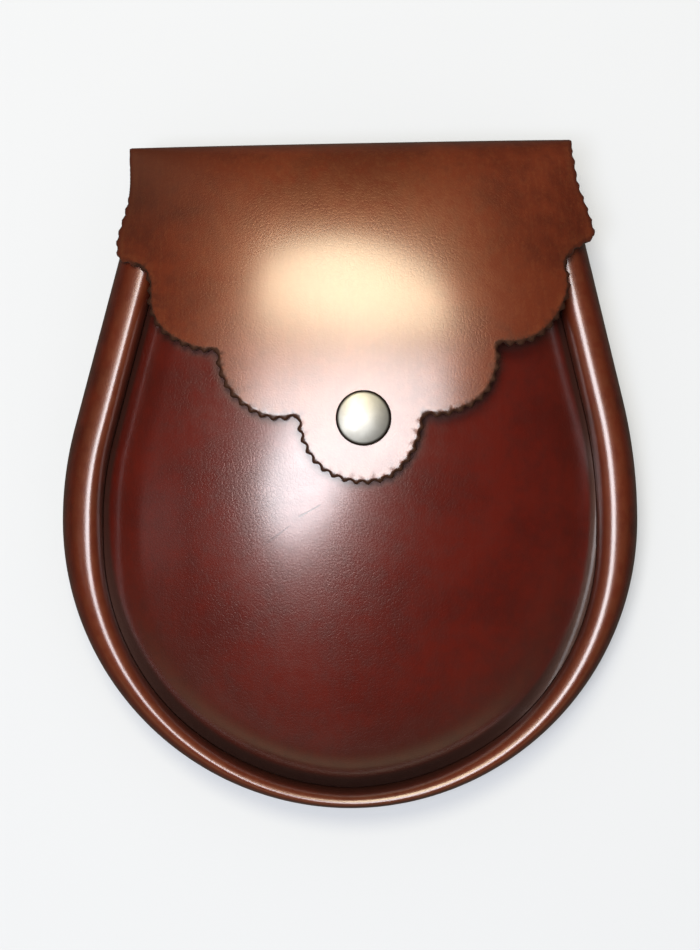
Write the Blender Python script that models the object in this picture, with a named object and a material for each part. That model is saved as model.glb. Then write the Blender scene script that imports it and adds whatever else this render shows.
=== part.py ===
"""A leather sporran pouch with a scalloped flap, lying on its back.

Lengths are in metres and +Z is up. The pouch is drawn in its own frame, with X to the
right, Y towards the fold at the top and Z out of its front, and the outer face of its
back at Z = 0. An empty then leans that frame so that the pouch rests on its belt loops
and on the bottom of its back.
"""
import math
from typing import NamedTuple

import bmesh
import bpy
import numpy as np
from mathutils import Vector
from mathutils.geometry import delaunay_2d_cdt

MM = 0.001

# Leather, and the gap that pieces keep to each other
LEATHER = 2.0 * MM
GAP = 0.3 * MM


# Outline of the body from the front: a half circle below, a wide arc and a straight
# taper up each side
class Side(NamedTuple):
    """One side above the half circle: the radius of its arc and the taper it turns to."""
    sign: float
    radius: float
    taper: float


BOTTOM_RADIUS = 87.2 * MM
BOTTOM_CENTRE_Y = -13.7 * MM
LEFT_SIDE = Side(-1.0, 109.4 * MM, math.radians(14.8))
RIGHT_SIDE = Side(1.0, 155.0 * MM, math.radians(13.6))
MOUTH_Y = 82.0 * MM
STATION_STEP = 7.6 * MM


# Width of the rolled rim, by how far round the bottom it lies
class RimWidth(NamedTuple):
    """Width of the rim at an angle below the widest line of the body."""
    angle: float
    width: float


RIM_WIDTHS = (
    RimWidth(0.0, 13.1 * MM),
    RimWidth(28.0, 10.1 * MM),
    RimWidth(45.0, 8.4 * MM),
    RimWidth(60.0, 7.6 * MM),
    RimWidth(90.0, 6.1 * MM),
)

# Rolled rim in section
SEAM_Z = 17.5 * MM
RIM_SIDE_Z = 12.0 * MM
CREST_PLACE = 0.55
CREST_RISE = 0.42
BACK_ROLL = 5.0 * MM
BACK_FLANGE = 11.0 * MM
SEAM_FLANGE = 4.5 * MM
ROLL_STEPS = 4

# Domed front panel
DOME_Z = 39.5 * MM
DOME_CENTRE_Y = 10.0 * MM
DOME_RADIUS_ACROSS = 140.0 * MM
DOME_RADIUS_UP = 400.0 * MM
DOME_RADIUS_DOWN = 300.0 * MM
SHOULDER_WIDTH = 13.0 * MM
SHOULDER_POWER = 2.6
SHOULDER_RINGS = (0.0, 0.04, 0.12, 0.26, 0.45, 0.7, 1.0)
PANEL_GRID = 10.0 * MM

# Fold over the top, and the flap's lie down the front
FOLD_Y = 81.9 * MM
FOLD_RADIUS = 17.8 * MM
FOLD_ANGLE = math.radians(168.0)
FOLD_ROWS = 12
FOLD_LEFT_X = -66.4 * MM
FOLD_RIGHT_X = 66.7 * MM
FOLD_SKEW = math.tan(math.radians(1.1))
SKEW_RUN = 38.0 * MM
FLAP_CREST_Y = 14.0 * MM
FLAP_RADIUS_ACROSS = 143.0 * MM
FLAP_BEND_RUN = 34.0 * MM
FLAP_GRID = 9.0 * MM

# Back
BACK_INSET = 3.5 * MM
BACK_SPREAD_Y = 40.0 * MM
BACK_SIDE_STEPS = 6
BACK_GRID = 24.0 * MM

# Pinked edge
TOOTH_PITCH = 3.6 * MM
TOOTH_DEPTH = 0.8 * MM
CURVE_STEPS = 16
EDGE_CLEARANCE = 0.45


# Scallops of the flap from the left end of the fold to the right one, as seen from the
# front. Each is a smooth curve through its points and ends in the notch before the next.
class Scallop(NamedTuple):
    """One scallop: whether it is pinked, and its points in millimetres."""
    pinked: bool
    points: tuple


SCALLOPS = (
    Scallop(False, ((-66.4, 96.0), (-66.2, 88.0), (-66.6, 83.0))),
    Scallop(True, ((-66.6, 83.0), (-68.1, 77.8), (-69.9, 72.3), (-70.4, 68.8), (-69.6, 64.9), (-66.2, 63.2),
                   (-61.9, 61.3))),
    Scallop(True, ((-61.9, 61.3), (-60.0, 57.4), (-59.5, 49.4), (-56.6, 43.4), (-51.5, 39.4), (-44.8, 36.6),
                   (-39.2, 36.2))),
    Scallop(True, ((-39.2, 36.2), (-38.2, 30.1), (-35.0, 23.9), (-28.5, 18.3), (-21.8, 16.2), (-15.4, 16.8))),
    Scallop(True, ((-15.4, 16.8), (-14.2, 10.7), (-10.7, 4.1), (-4.9, -0.4), (3.2, -2.4), (11.6, -0.7),
                   (17.4, 4.9), (20.3, 11.3), (21.7, 17.4))),
    Scallop(True, ((21.7, 17.4), (27.6, 17.4), (35.0, 20.0), (40.3, 24.5), (43.3, 32.0), (43.1, 38.1))),
    Scallop(True, ((43.1, 38.1), (49.4, 38.2), (56.0, 40.9), (61.4, 46.6), (64.4, 52.7), (65.0, 57.8),
                   (64.0, 62.8))),
    Scallop(True, ((64.0, 62.8), (66.7, 66.7), (69.5, 68.6), (73.0, 71.0), (73.4, 73.8), (71.1, 80.6),
                   (68.6, 87.0), (67.4, 93.5), (66.7, 97.6))),
)

# Press stud
SNAP_X = 3.9 * MM
SNAP_Y = 16.5 * MM
CAP_RADIUS = 8.05 * MM
CAP_EDGE = 0.7 * MM
CAP_RISE = 2.6 * MM
BARREL_RADIUS = 3.2 * MM
BARREL_BORE = 2.2 * MM
BARREL_FLANGE_RADIUS = 5.0 * MM
BARREL_FLANGE = 0.6 * MM
CAP_CEILING = 0.6 * MM
POST_RADIUS = 1.9 * MM
POST_FLANGE_RADIUS = 5.5 * MM
POST_FLANGE = 0.9 * MM
CAP_SIDES = 32
DOME_STEPS = 6
HOLE_SIDES = 16

# Belt loops on the back
LOOP_X = 38.0 * MM
LOOP_WIDTH = 25.0 * MM
LOOP_LOW_Y = 26.0 * MM
LOOP_HIGH_Y = 81.0 * MM
LOOP_TAB = 8.0 * MM
LOOP_LEG = 5.0 * MM
LOOP_BEND = 3.5 * MM
BEND_STEPS = 4

# How the pouch lies
LEAN = math.radians(3.2)
REST_Y = -93.0 * MM
CENTRE_SHIFT_Y = 0.78 * MM


class Station(NamedTuple):
    """A point of the body's outline, its outward normal, the rim's width and whether it is at the mouth."""
    x: float
    y: float
    nx: float
    ny: float
    rim: float
    at_mouth: bool


def clear_scene():
    """Removes every object of the scene."""
    for old in list(bpy.data.objects):
        bpy.data.objects.remove(old, do_unlink=True)


def plain_material(name, colour, roughness, metallic):
    """Returns a Principled material."""
    material = bpy.data.materials.new(name)
    material.use_nodes = True
    shader = material.node_tree.nodes["Principled BSDF"]
    shader.inputs["Base Color"].default_value = (*colour, 1.0)
    shader.inputs["Roughness"].default_value = roughness
    shader.inputs["Metallic"].default_value = metallic
    return material


def add_object(name, shape, material, smooth_angle):
    """Turns a bmesh into a shaded object of the scene."""
    mesh = bpy.data.meshes.new(name)
    shape.to_mesh(mesh)
    shape.free()
    mesh.materials.append(material)
    mesh.shade_smooth()
    mesh.set_sharp_from_angle(angle=smooth_angle)
    made = bpy.data.objects.new(name, mesh)
    bpy.context.scene.collection.objects.link(made)
    return made


# Outline and rim

def rim_width(angle):
    """Returns the rim's width at an angle below the widest line, in degrees."""
    angles = [row.angle for row in RIM_WIDTHS]
    widths = [row.width for row in RIM_WIDTHS]
    return float(np.interp(angle, angles, widths))


def side_stations(side):
    """Lists the stations of one side from the mouth down to the half circle, which is left out."""
    centre_x = side.sign * (BOTTOM_RADIUS - side.radius)
    turn_x = centre_x + side.sign * side.radius * math.cos(side.taper)
    turn_y = BOTTOM_CENTRE_Y + side.radius * math.sin(side.taper)
    nx = side.sign * math.cos(side.taper)
    ny = math.sin(side.taper)
    rim = rim_width(0.0)
    stations = []
    straight_steps = round((MOUTH_Y - turn_y) / STATION_STEP)
    for i in range(straight_steps):
        y = MOUTH_Y + (turn_y - MOUTH_Y) * i / straight_steps
        x = turn_x - side.sign * (y - turn_y) * math.tan(side.taper)
        stations.append(Station(x, y, nx, ny, rim, i == 0))
    arc_steps = round(side.radius * side.taper / STATION_STEP)
    for i in range(arc_steps):
        angle = side.taper * (1.0 - i / arc_steps)
        nx = side.sign * math.cos(angle)
        ny = math.sin(angle)
        x = centre_x + side.radius * nx
        y = BOTTOM_CENTRE_Y + side.radius * ny
        stations.append(Station(x, y, nx, ny, rim, False))
    return stations


def body_stations():
    """Lists the stations from the left end of the mouth round the bottom to the right end."""
    stations = side_stations(LEFT_SIDE)
    bottom_steps = round(math.pi * BOTTOM_RADIUS / STATION_STEP)
    for i in range(bottom_steps + 1):
        angle = math.pi * i / bottom_steps
        below = math.degrees(min(angle, math.pi - angle))
        nx = -math.cos(angle)
        ny = -math.sin(angle)
        x = BOTTOM_RADIUS * nx
        y = BOTTOM_CENTRE_Y + BOTTOM_RADIUS * ny
        stations.append(Station(x, y, nx, ny, rim_width(below), False))
    stations.extend(reversed(side_stations(RIGHT_SIDE)))
    return stations


def inset_point(station, inset):
    """Returns the point that lies an inset inside the outline, cut level at the mouth."""
    x = station.x - station.nx * inset
    y = station.y - station.ny * inset
    if station.at_mouth:
        slide = (MOUTH_Y - y) / abs(station.nx)
        x -= math.copysign(station.ny, station.nx) * slide
        y = MOUTH_Y
    return x, y


def quarter(centre, half_axes, start, end, steps):
    """Lists points on an ellipse's arc between two angles, without the last one."""
    points = []
    for i in range(steps):
        angle = start + (end - start) * i / steps
        points.append((centre[0] + half_axes[0] * math.cos(angle), centre[1] + half_axes[1] * math.sin(angle)))
    return points


def rim_face(rim, inward):
    """Lists one face of the rolled strip as (inset, height), moved inward by part of its thickness."""
    low = LEATHER + GAP + inward
    crest_inset = CREST_PLACE * rim
    crest_z = SEAM_Z + CREST_RISE * rim - inward
    seam_z = SEAM_Z - 0.5 * inward
    half_turn = math.pi
    points = [(BACK_FLANGE, low)]
    points += quarter((BACK_ROLL, RIM_SIDE_Z), (BACK_ROLL - inward, RIM_SIDE_Z - low),
                      1.5 * half_turn, half_turn, ROLL_STEPS)
    points += quarter((crest_inset, RIM_SIDE_Z), (crest_inset - inward, crest_z - RIM_SIDE_Z),
                      half_turn, 0.5 * half_turn, ROLL_STEPS + 1)
    points += quarter((crest_inset, seam_z), (rim - crest_inset - inward, crest_z - seam_z),
                      0.5 * half_turn, 0.0, ROLL_STEPS)
    points += [(rim - inward, seam_z), (rim - inward, SEAM_Z - SEAM_FLANGE)]
    return points


def build_gusset(material):
    """Builds the rolled strip that runs round the sides and the bottom."""
    shape = bmesh.new()
    rings = []
    for station in body_stations():
        section = rim_face(station.rim, 0.0) + list(reversed(rim_face(station.rim, LEATHER)))
        ring = []
        for inset, z in section:
            x, y = inset_point(station, inset)
            ring.append(shape.verts.new((x, y, z)))
        rings.append(ring)
    count = len(rings[0])
    for near, far in zip(rings, rings[1:]):
        for i in range(count):
            j = (i + 1) % count
            shape.faces.new((near[i], near[j], far[j], far[i]))
    for ring in (rings[0], rings[-1]):
        for i in range(count // 2 - 1):
            shape.faces.new((ring[i], ring[i + 1], ring[count - 2 - i], ring[count - 1 - i]))
    bmesh.ops.recalc_face_normals(shape, faces=shape.faces)
    return add_object("gusset", shape, material, math.radians(50))


# Sheets: a flat plan that is triangulated, bent and given its thickness

class Sheet:
    """A leather sheet's plan points, each with its bent place, and the closed loops that bound it."""

    def __init__(self):
        self.plan = []
        self.bent = []
        self.loops = []

    def add(self, plan_point, bent_point):
        """Adds a point and returns its number."""
        self.plan.append(Vector(plan_point))
        self.bent.append(Vector(bent_point))
        return len(self.plan) - 1

    def add_loop(self, numbers):
        """Bounds the sheet, or a hole in it, by a closed loop of points."""
        self.loops.append(numbers)

    def build(self, name, material, hole_centre, hole_radius, flip):
        """Triangulates the plan, bends it, and thickens it away from its grain side."""
        edges = []
        for loop in self.loops:
            edges += list(zip(loop, loop[1:] + loop[:1]))
        result = delaunay_2d_cdt(self.plan, edges, [], 1, 1e-9)
        corners, faces, origins = result[0], result[2], result[3]
        centre = Vector(hole_centre)
        shape = bmesh.new()
        verts = [shape.verts.new(self.bent[origin[0]]) for origin in origins]
        for face in faces:
            middle = sum((corners[i] for i in face), Vector((0.0, 0.0))) / len(face)
            if (middle - centre).length < hole_radius:
                continue
            order = reversed(face) if flip else face
            shape.faces.new([verts[i] for i in order])
        made = add_object(name, shape, material, math.radians(50))
        thick = made.modifiers.new("thickness", "SOLIDIFY")
        thick.thickness = LEATHER
        thick.offset = -1.0
        thick.use_even_offset = True
        thick.use_quality_normals = True
        return made


def circle_points(centre, radius, sides):
    """Lists the points of a circle."""
    points = []
    for i in range(sides):
        angle = 2.0 * math.pi * i / sides
        points.append((centre[0] + radius * math.cos(angle), centre[1] + radius * math.sin(angle)))
    return points


def grid_points(low, high, step):
    """Lists the points of a staggered grid over a rectangle."""
    points = []
    row_step = step * math.sqrt(3.0) / 2.0
    rows = int((high[1] - low[1]) / row_step) + 1
    columns = int((high[0] - low[0]) / step) + 1
    for row in range(rows):
        shift = 0.5 * step * (row % 2)
        for column in range(columns):
            points.append((low[0] + shift + column * step, low[1] + row * row_step))
    return points


def smooth_step(value):
    """Rises smoothly from 0 to 1 as the value does."""
    value = min(max(value, 0.0), 1.0)
    return value * value * (3.0 - 2.0 * value)


# Domed front panel

def crown_height(x, y):
    """Returns the height of the dome's broad crown, before its shoulder turns down."""
    rise = y - DOME_CENTRE_Y
    radius = DOME_RADIUS_UP if rise > 0.0 else DOME_RADIUS_DOWN
    return DOME_Z - x * x / (2.0 * DOME_RADIUS_ACROSS) - rise * rise / (2.0 * radius)


def depth_inside(stations, x, y):
    """Returns how far a point lies inside the seam, for the round-cornered body."""
    depths = []
    for station in stations:
        across = (station.x - x) * station.nx + (station.y - y) * station.ny
        depths.append(across - station.rim - GAP)
    return min(depths)


def build_front_panel(material):
    """Builds the moulded front with its edge turned in along the seam."""
    stations = body_stations()
    sheet = Sheet()
    rings = []
    flange = []
    for station in stations:
        plan_point = inset_point(station, station.rim + GAP - SEAM_FLANGE)
        x, y = inset_point(station, station.rim + GAP)
        flange.append(sheet.add(plan_point, (x, y, SEAM_Z - SEAM_FLANGE)))
    for share in SHOULDER_RINGS:
        ring = []
        for station in stations:
            x, y = inset_point(station, station.rim + GAP + share * SHOULDER_WIDTH)
            height = 1.0 - (1.0 - share) ** SHOULDER_POWER
            z = SEAM_Z + (crown_height(x, y) - SEAM_Z) * height
            ring.append(sheet.add((x, y), (x, y, z)))
        rings.append(ring)
    left = sheet.bent[rings[-1][0]].x
    right = sheet.bent[rings[-1][-1]].x
    mouth_steps = round((right - left) / PANEL_GRID)
    mouth = []
    for i in range(1, mouth_steps):
        x = left + (right - left) * i / mouth_steps
        mouth.append(sheet.add((x, MOUTH_Y), (x, MOUTH_Y, crown_height(x, MOUTH_Y))))
    right_end = [ring[-1] for ring in rings]
    left_end = [ring[0] for ring in rings]
    sheet.add_loop(flange + right_end + list(reversed(mouth)) + list(reversed(left_end)))
    hole_radius = POST_RADIUS + GAP
    hole = [sheet.add((x, y), (x, y, crown_height(x, y)))
            for x, y in circle_points((SNAP_X, SNAP_Y), hole_radius, HOLE_SIDES)]
    sheet.add_loop(hole)
    low = (-BOTTOM_RADIUS, BOTTOM_CENTRE_Y - BOTTOM_RADIUS)
    margin = EDGE_CLEARANCE * PANEL_GRID
    for x, y in grid_points(low, (BOTTOM_RADIUS, MOUTH_Y - margin), PANEL_GRID):
        from_hole = math.hypot(x - SNAP_X, y - SNAP_Y) - hole_radius
        if from_hole > margin and depth_inside(stations, x, y) > SHOULDER_WIDTH + margin:
            sheet.add((x, y), (x, y, crown_height(x, y)))
    return sheet.build("front_panel", material, (SNAP_X, SNAP_Y), hole_radius, False)


# Back, fold and flap, cut from one piece

def fold_length():
    """Returns the way round the fold, from the back to the flap."""
    return FOLD_RADIUS * FOLD_ANGLE


def centre_line(way):
    """Returns Y, Z and the grain side's normal (Y, Z) on the centre line, a way past the fold's start."""
    if way <= 0.0:
        y = FOLD_Y + way
        pressed = max(0.0, (REST_Y - y) * math.tan(LEAN))
        return y, pressed, 0.0, -1.0
    if way <= fold_length():
        angle = way / FOLD_RADIUS
        ny = math.sin(angle)
        nz = -math.cos(angle)
        return FOLD_Y + FOLD_RADIUS * ny, FOLD_RADIUS * (1.0 + nz), ny, nz
    start_y = FOLD_Y + FOLD_RADIUS * math.sin(FOLD_ANGLE)
    start_z = FOLD_RADIUS * (1.0 - math.cos(FOLD_ANGLE))
    start_slope = math.tan(math.pi - FOLD_ANGLE)
    run = way - fold_length()
    crest_run = start_y - FLAP_CREST_Y
    slope = start_slope * (1.0 - run / crest_run)
    z = start_z + start_slope * run * (1.0 - 0.5 * run / crest_run)
    length = math.hypot(1.0, slope)
    return start_y - run, z, slope / length, 1.0 / length


def lie_of_leather(x, way):
    """Returns the place of a point on the grain side, bent over the top and across the pouch."""
    y, z, ny, nz = centre_line(way)
    skew = smooth_step(1.0 + way / SKEW_RUN)
    bend = smooth_step((way - fold_length()) / FLAP_BEND_RUN)
    drop = bend * x * x / (2.0 * FLAP_RADIUS_ACROSS)
    return Vector((x, y + FOLD_SKEW * skew * x - drop * ny, z - drop * nz))


def way_to(x, y):
    """Finds the way along the leather at which its front shows at (x, y)."""
    near = FOLD_RADIUS * math.pi / 2.0
    far = fold_length() + FOLD_Y - 2.0 * BOTTOM_CENTRE_Y
    for _ in range(50):
        middle = 0.5 * (near + far)
        if lie_of_leather(x, middle).y > y:
            near = middle
        else:
            far = middle
    return near


def smooth_curve(points):
    """Returns dense points of a smooth curve through the given ones."""
    known = [np.array(point) * MM for point in points]
    known = [2.0 * known[0] - known[1]] + known + [2.0 * known[-1] - known[-2]]
    dense = []
    for i in range(1, len(known) - 2):
        before, start, end, after = known[i - 1:i + 3]
        for k in range(CURVE_STEPS):
            t = k / CURVE_STEPS
            dense.append(0.5 * (2.0 * start + (end - before) * t
                                + (2.0 * before - 5.0 * start + 4.0 * end - after) * t ** 2
                                + (3.0 * start - before - 3.0 * end + after) * t ** 3))
    dense.append(known[-2])
    return np.array(dense)


def scallop_edge(scallop):
    """Returns the cut edge of a scallop, with its teeth, from its first notch up to the next."""
    dense = smooth_curve(scallop.points)
    lengths = np.hypot(*np.diff(dense, axis=0).T)
    along = np.concatenate(([0.0], np.cumsum(lengths)))
    teeth = max(1, round(along[-1] / TOOTH_PITCH))
    places = np.linspace(0.0, along[-1], 2 * teeth + 1)
    edge = np.column_stack([np.interp(places, along, dense[:, axis]) for axis in (0, 1)])
    if not scallop.pinked:
        return edge[:-1]
    direction = np.gradient(edge, axis=0)
    direction /= np.linalg.norm(direction, axis=1)[:, None]
    outward = np.column_stack((direction[:, 1], -direction[:, 0])) * -1.0
    sides = np.where(np.arange(len(edge)) % 2 == 1, -0.5, 0.5)
    sides[0] = 0.0
    edge = edge - outward * sides[:, None] * TOOTH_DEPTH
    return edge[:-1]


def flap_edge():
    """Lists the flap's cut edge as (x, way), from the left end of the fold to the right one."""
    edge = np.concatenate([scallop_edge(scallop) for scallop in SCALLOPS])
    return [(x, way_to(x, y)) for x, y in edge]


def fold_ways():
    """Lists the ways along the leather at which the fold has a row of points."""
    return [fold_length() * row / FOLD_ROWS for row in range(FOLD_ROWS + 1)]


def back_edge():
    """Lists the back's edge as (x, way), from the right end of the fold round to the left one."""
    stations = [station for station in body_stations() if station.y < BACK_SPREAD_Y]
    lower = [inset_point(station, BACK_INSET) for station in reversed(stations)]
    edge = []
    for i in range(BACK_SIDE_STEPS):
        share = i / BACK_SIDE_STEPS
        edge.append((FOLD_RIGHT_X + (lower[0][0] - FOLD_RIGHT_X) * share, FOLD_Y + (lower[0][1] - FOLD_Y) * share))
    edge += lower
    for i in range(BACK_SIDE_STEPS):
        share = (i + 1) / BACK_SIDE_STEPS
        edge.append((lower[-1][0] + (FOLD_LEFT_X - lower[-1][0]) * share,
                     lower[-1][1] + (FOLD_Y - lower[-1][1]) * share))
    return [(x, y - FOLD_Y) for x, y in edge]


def is_inside(x, y, loop):
    """Tells whether a point is inside a closed loop of points."""
    inside = False
    for (ax, ay), (bx, by) in zip(loop, loop[1:] + loop[:1]):
        if (ay > y) != (by > y) and x < ax + (bx - ax) * (y - ay) / (by - ay):
            inside = not inside
    return inside


def build_back_and_flap(material):
    """Builds the back, the fold and the flap from one piece of leather."""
    sheet = Sheet()
    flap = flap_edge()
    ways = fold_ways()
    left_fold = [(FOLD_LEFT_X, way) for way in ways[1:] if way < flap[0][1]]
    right_fold = [(FOLD_RIGHT_X, way) for way in reversed(ways[1:]) if way < flap[-1][1]]
    outline = back_edge() + left_fold + flap + right_fold
    sheet.add_loop([sheet.add(point, lie_of_leather(*point)) for point in outline])
    hole_radius = BARREL_RADIUS + GAP
    snap_way = way_to(SNAP_X, SNAP_Y)
    hole = [sheet.add(point, lie_of_leather(*point))
            for point in circle_points((SNAP_X, snap_way), hole_radius, HOLE_SIDES)]
    sheet.add_loop(hole)
    edge = np.array(outline)
    low_way = BOTTOM_CENTRE_Y - BOTTOM_RADIUS - FOLD_Y
    back_grid = grid_points((-BOTTOM_RADIUS, low_way), (BOTTOM_RADIUS, -BACK_GRID), BACK_GRID)
    press_rows = [(x, REST_Y - FOLD_Y) for x in np.arange(-2.0 * BACK_GRID, 2.1 * BACK_GRID, BACK_GRID / 4.0)]
    flap_grid = grid_points((-BOTTOM_RADIUS, fold_length() + FLAP_GRID), (BOTTOM_RADIUS, flap_reach()), FLAP_GRID)
    columns = round((FOLD_RIGHT_X - FOLD_LEFT_X) / (2.0 * FLAP_GRID))
    fold_grid = []
    for way in [-FLAP_GRID] + ways:
        for i in range(1, columns):
            fold_grid.append((FOLD_LEFT_X + (FOLD_RIGHT_X - FOLD_LEFT_X) * i / columns, way))
    for points, step in ((back_grid, BACK_GRID), (press_rows, FLAP_GRID), (flap_grid, FLAP_GRID),
                         (fold_grid, FLAP_GRID)):
        for x, way in points:
            from_edge = np.hypot(edge[:, 0] - x, edge[:, 1] - way).min()
            from_hole = math.hypot(x - SNAP_X, way - snap_way) - hole_radius
            if min(from_edge, from_hole) > EDGE_CLEARANCE * step and is_inside(x, way, outline):
                sheet.add((x, way), lie_of_leather(x, way))
    return sheet.build("back_and_flap", material, (SNAP_X, snap_way), hole_radius, True)


def flap_reach():
    """Returns the way along the leather to just short of the flap's tip."""
    lowest = min(y for scallop in SCALLOPS for _, y in scallop.points)
    return way_to(0.0, lowest * MM)


# Press stud

def lathe(name, profile, sides, material):
    """Turns a profile of (radius, height) that starts and ends on the axis, about the snap's axis."""
    shape = bmesh.new()
    verts = [shape.verts.new((radius, 0.0, z)) for radius, z in profile]
    edges = [shape.edges.new(pair) for pair in zip(verts, verts[1:])]
    bmesh.ops.spin(shape, geom=verts + edges, cent=(0.0, 0.0, 0.0), axis=(0.0, 0.0, 1.0),
                   angle=2.0 * math.pi, steps=sides, use_duplicate=False)
    bmesh.ops.remove_doubles(shape, verts=shape.verts, dist=0.001 * MM)
    bmesh.ops.recalc_face_normals(shape, faces=shape.faces)
    made = add_object(name, shape, material, math.radians(40))
    made.location = (SNAP_X, SNAP_Y, 0.0)
    return made


def flap_top(x):
    """Returns the height of the flap's grain side level with the press stud."""
    return lie_of_leather(x, way_to(x, SNAP_Y)).z


def build_snap_cap(material):
    """Builds the domed cap with the barrel that holds it to the flap."""
    seat = flap_top(SNAP_X) + GAP
    under = flap_top(SNAP_X + BARREL_FLANGE_RADIUS) - LEATHER - GAP
    foot = under - BARREL_FLANGE
    chamfer = 0.3 * CAP_EDGE
    dome = quarter((0.0, seat + CAP_EDGE), (CAP_RADIUS, CAP_RISE), 0.0, 0.5 * math.pi, DOME_STEPS)
    profile = [
        (0.0, seat + CAP_CEILING),
        (BARREL_BORE, seat + CAP_CEILING),
        (BARREL_BORE, foot),
        (BARREL_FLANGE_RADIUS, foot),
        (BARREL_FLANGE_RADIUS, under),
        (BARREL_RADIUS, under),
        (BARREL_RADIUS, seat),
        (CAP_RADIUS - chamfer, seat),
        (CAP_RADIUS, seat + chamfer),
    ]
    profile += dome + [(0.0, seat + CAP_EDGE + CAP_RISE)]
    return lathe("snap_cap", profile, CAP_SIDES, material)


def build_snap_post(material):
    """Builds the plain post that stands through the front panel into the cap's barrel."""
    under = crown_height(SNAP_X + POST_FLANGE_RADIUS, SNAP_Y) - LEATHER - GAP
    top = flap_top(SNAP_X) + CAP_CEILING
    profile = [
        (0.0, under - POST_FLANGE),
        (POST_FLANGE_RADIUS, under - POST_FLANGE),
        (POST_FLANGE_RADIUS, under),
        (POST_RADIUS, under),
        (POST_RADIUS, top),
        (0.0, top),
    ]
    return lathe("snap_post", profile, CAP_SIDES, material)


# Belt loops

def floor_below(y):
    """Returns the height of the floor under the back, in the pouch's own frame."""
    return (REST_Y - y) * math.tan(LEAN)


def rounded_path(points, radius):
    """Returns a path with its inner corners rounded off."""
    path = [Vector(points[0])]
    for before, corner, after in zip(points, points[1:], points[2:]):
        corner = Vector(corner)
        back = (Vector(before) - corner).normalized()
        ahead = (Vector(after) - corner).normalized()
        half = 0.5 * back.angle(ahead)
        reach = radius / math.tan(half)
        centre = corner + (back + ahead).normalized() * radius / math.sin(half)
        start = corner + back * reach - centre
        end = corner + ahead * reach - centre
        for i in range(BEND_STEPS + 1):
            path.append(centre + start.lerp(end, i / BEND_STEPS).normalized() * radius)
    path.append(Vector(points[-1]))
    return path


def build_belt_loop(name, x, material):
    """Builds one loop: a strap sewn flat at both ends, with its middle lying on the floor."""
    seat = -GAP - LEATHER
    low_foot = LOOP_LOW_Y + LOOP_TAB
    high_foot = LOOP_HIGH_Y - LOOP_TAB
    low_turn = low_foot + LOOP_LEG
    high_turn = high_foot - LOOP_LEG
    corners = [
        (LOOP_LOW_Y, seat),
        (low_foot, seat),
        (low_turn, floor_below(low_turn)),
        (high_turn, floor_below(high_turn)),
        (high_foot, seat),
        (LOOP_HIGH_Y, seat),
    ]
    outer = rounded_path(corners, LOOP_BEND)
    directions = np.gradient(np.array(outer), axis=0)
    inner = []
    for point, direction in zip(outer, directions):
        along = Vector(direction).normalized()
        inner.append(point + Vector((-along.y, along.x)) * LEATHER)
    shape = bmesh.new()
    sides = []
    for edge_x in (x - 0.5 * LOOP_WIDTH, x + 0.5 * LOOP_WIDTH):
        sides.append([[shape.verts.new((edge_x, point.x, point.y)) for point in row] for row in (outer, inner)])
    (left_outer, left_inner), (right_outer, right_inner) = sides
    for i in range(len(outer) - 1):
        j = i + 1
        shape.faces.new((left_outer[i], right_outer[i], right_outer[j], left_outer[j]))
        shape.faces.new((left_inner[i], left_inner[j], right_inner[j], right_inner[i]))
        shape.faces.new((left_outer[i], left_outer[j], left_inner[j], left_inner[i]))
        shape.faces.new((right_outer[i], right_inner[i], right_inner[j], right_outer[j]))
    for i in (0, -1):
        shape.faces.new((left_outer[i], left_inner[i], right_inner[i], right_outer[i]))
    bmesh.ops.recalc_face_normals(shape, faces=shape.faces)
    return add_object(name, shape, material, math.radians(50))


def lay_down(pieces):
    """Leans the pieces about the bottom of the back, so that the belt loops reach the floor."""
    lie = bpy.data.objects.new("lie", None)
    bpy.context.scene.collection.objects.link(lie)
    lie.rotation_euler = (LEAN, 0.0, 0.0)
    lie.location = (0.0, CENTRE_SHIFT_Y, -REST_Y * math.sin(LEAN))
    for piece in pieces:
        piece.parent = lie


def main():
    """Builds the pouch."""
    clear_scene()
    leather = plain_material("red_brown_leather", (0.17, 0.024, 0.010), 0.25, 0.0)
    front_leather = plain_material("front_leather", (0.18, 0.022, 0.009), 0.22, 0.0)
    rim_leather = plain_material("rim_leather", (0.20, 0.035, 0.014), 0.25, 0.0)
    strap_leather = plain_material("strap_leather", (0.13, 0.025, 0.012), 0.45, 0.0)
    nickel = plain_material("satin_nickel", (0.62, 0.57, 0.50), 0.3, 1.0)
    steel = plain_material("plain_steel", (0.55, 0.55, 0.56), 0.4, 1.0)
    lay_down([
        build_back_and_flap(leather),
        build_front_panel(front_leather),
        build_gusset(rim_leather),
        build_snap_cap(nickel),
        build_snap_post(steel),
        build_belt_loop("belt_loop_left", -LOOP_X, strap_leather),
        build_belt_loop("belt_loop_right", LOOP_X, strap_leather),
    ])


main()
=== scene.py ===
"""A leather sporran pouch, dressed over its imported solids.

Lengths are in metres. The pouch is drawn in its own frame, with X to the right, Y towards
the fold at the top and Z out of its front, and the outer face of its back at Z = 0. `Lie`
then leans that frame, so that the pouch rests on its belt loops and the bottom of its back.
"""
import logging
import math
from dataclasses import dataclass, field
from enum import Enum, IntEnum
from typing import Any, Callable, NamedTuple

import bmesh
import bpy
import numpy as np
from mathutils import Matrix, Vector
from mathutils.geometry import delaunay_2d_cdt


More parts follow.
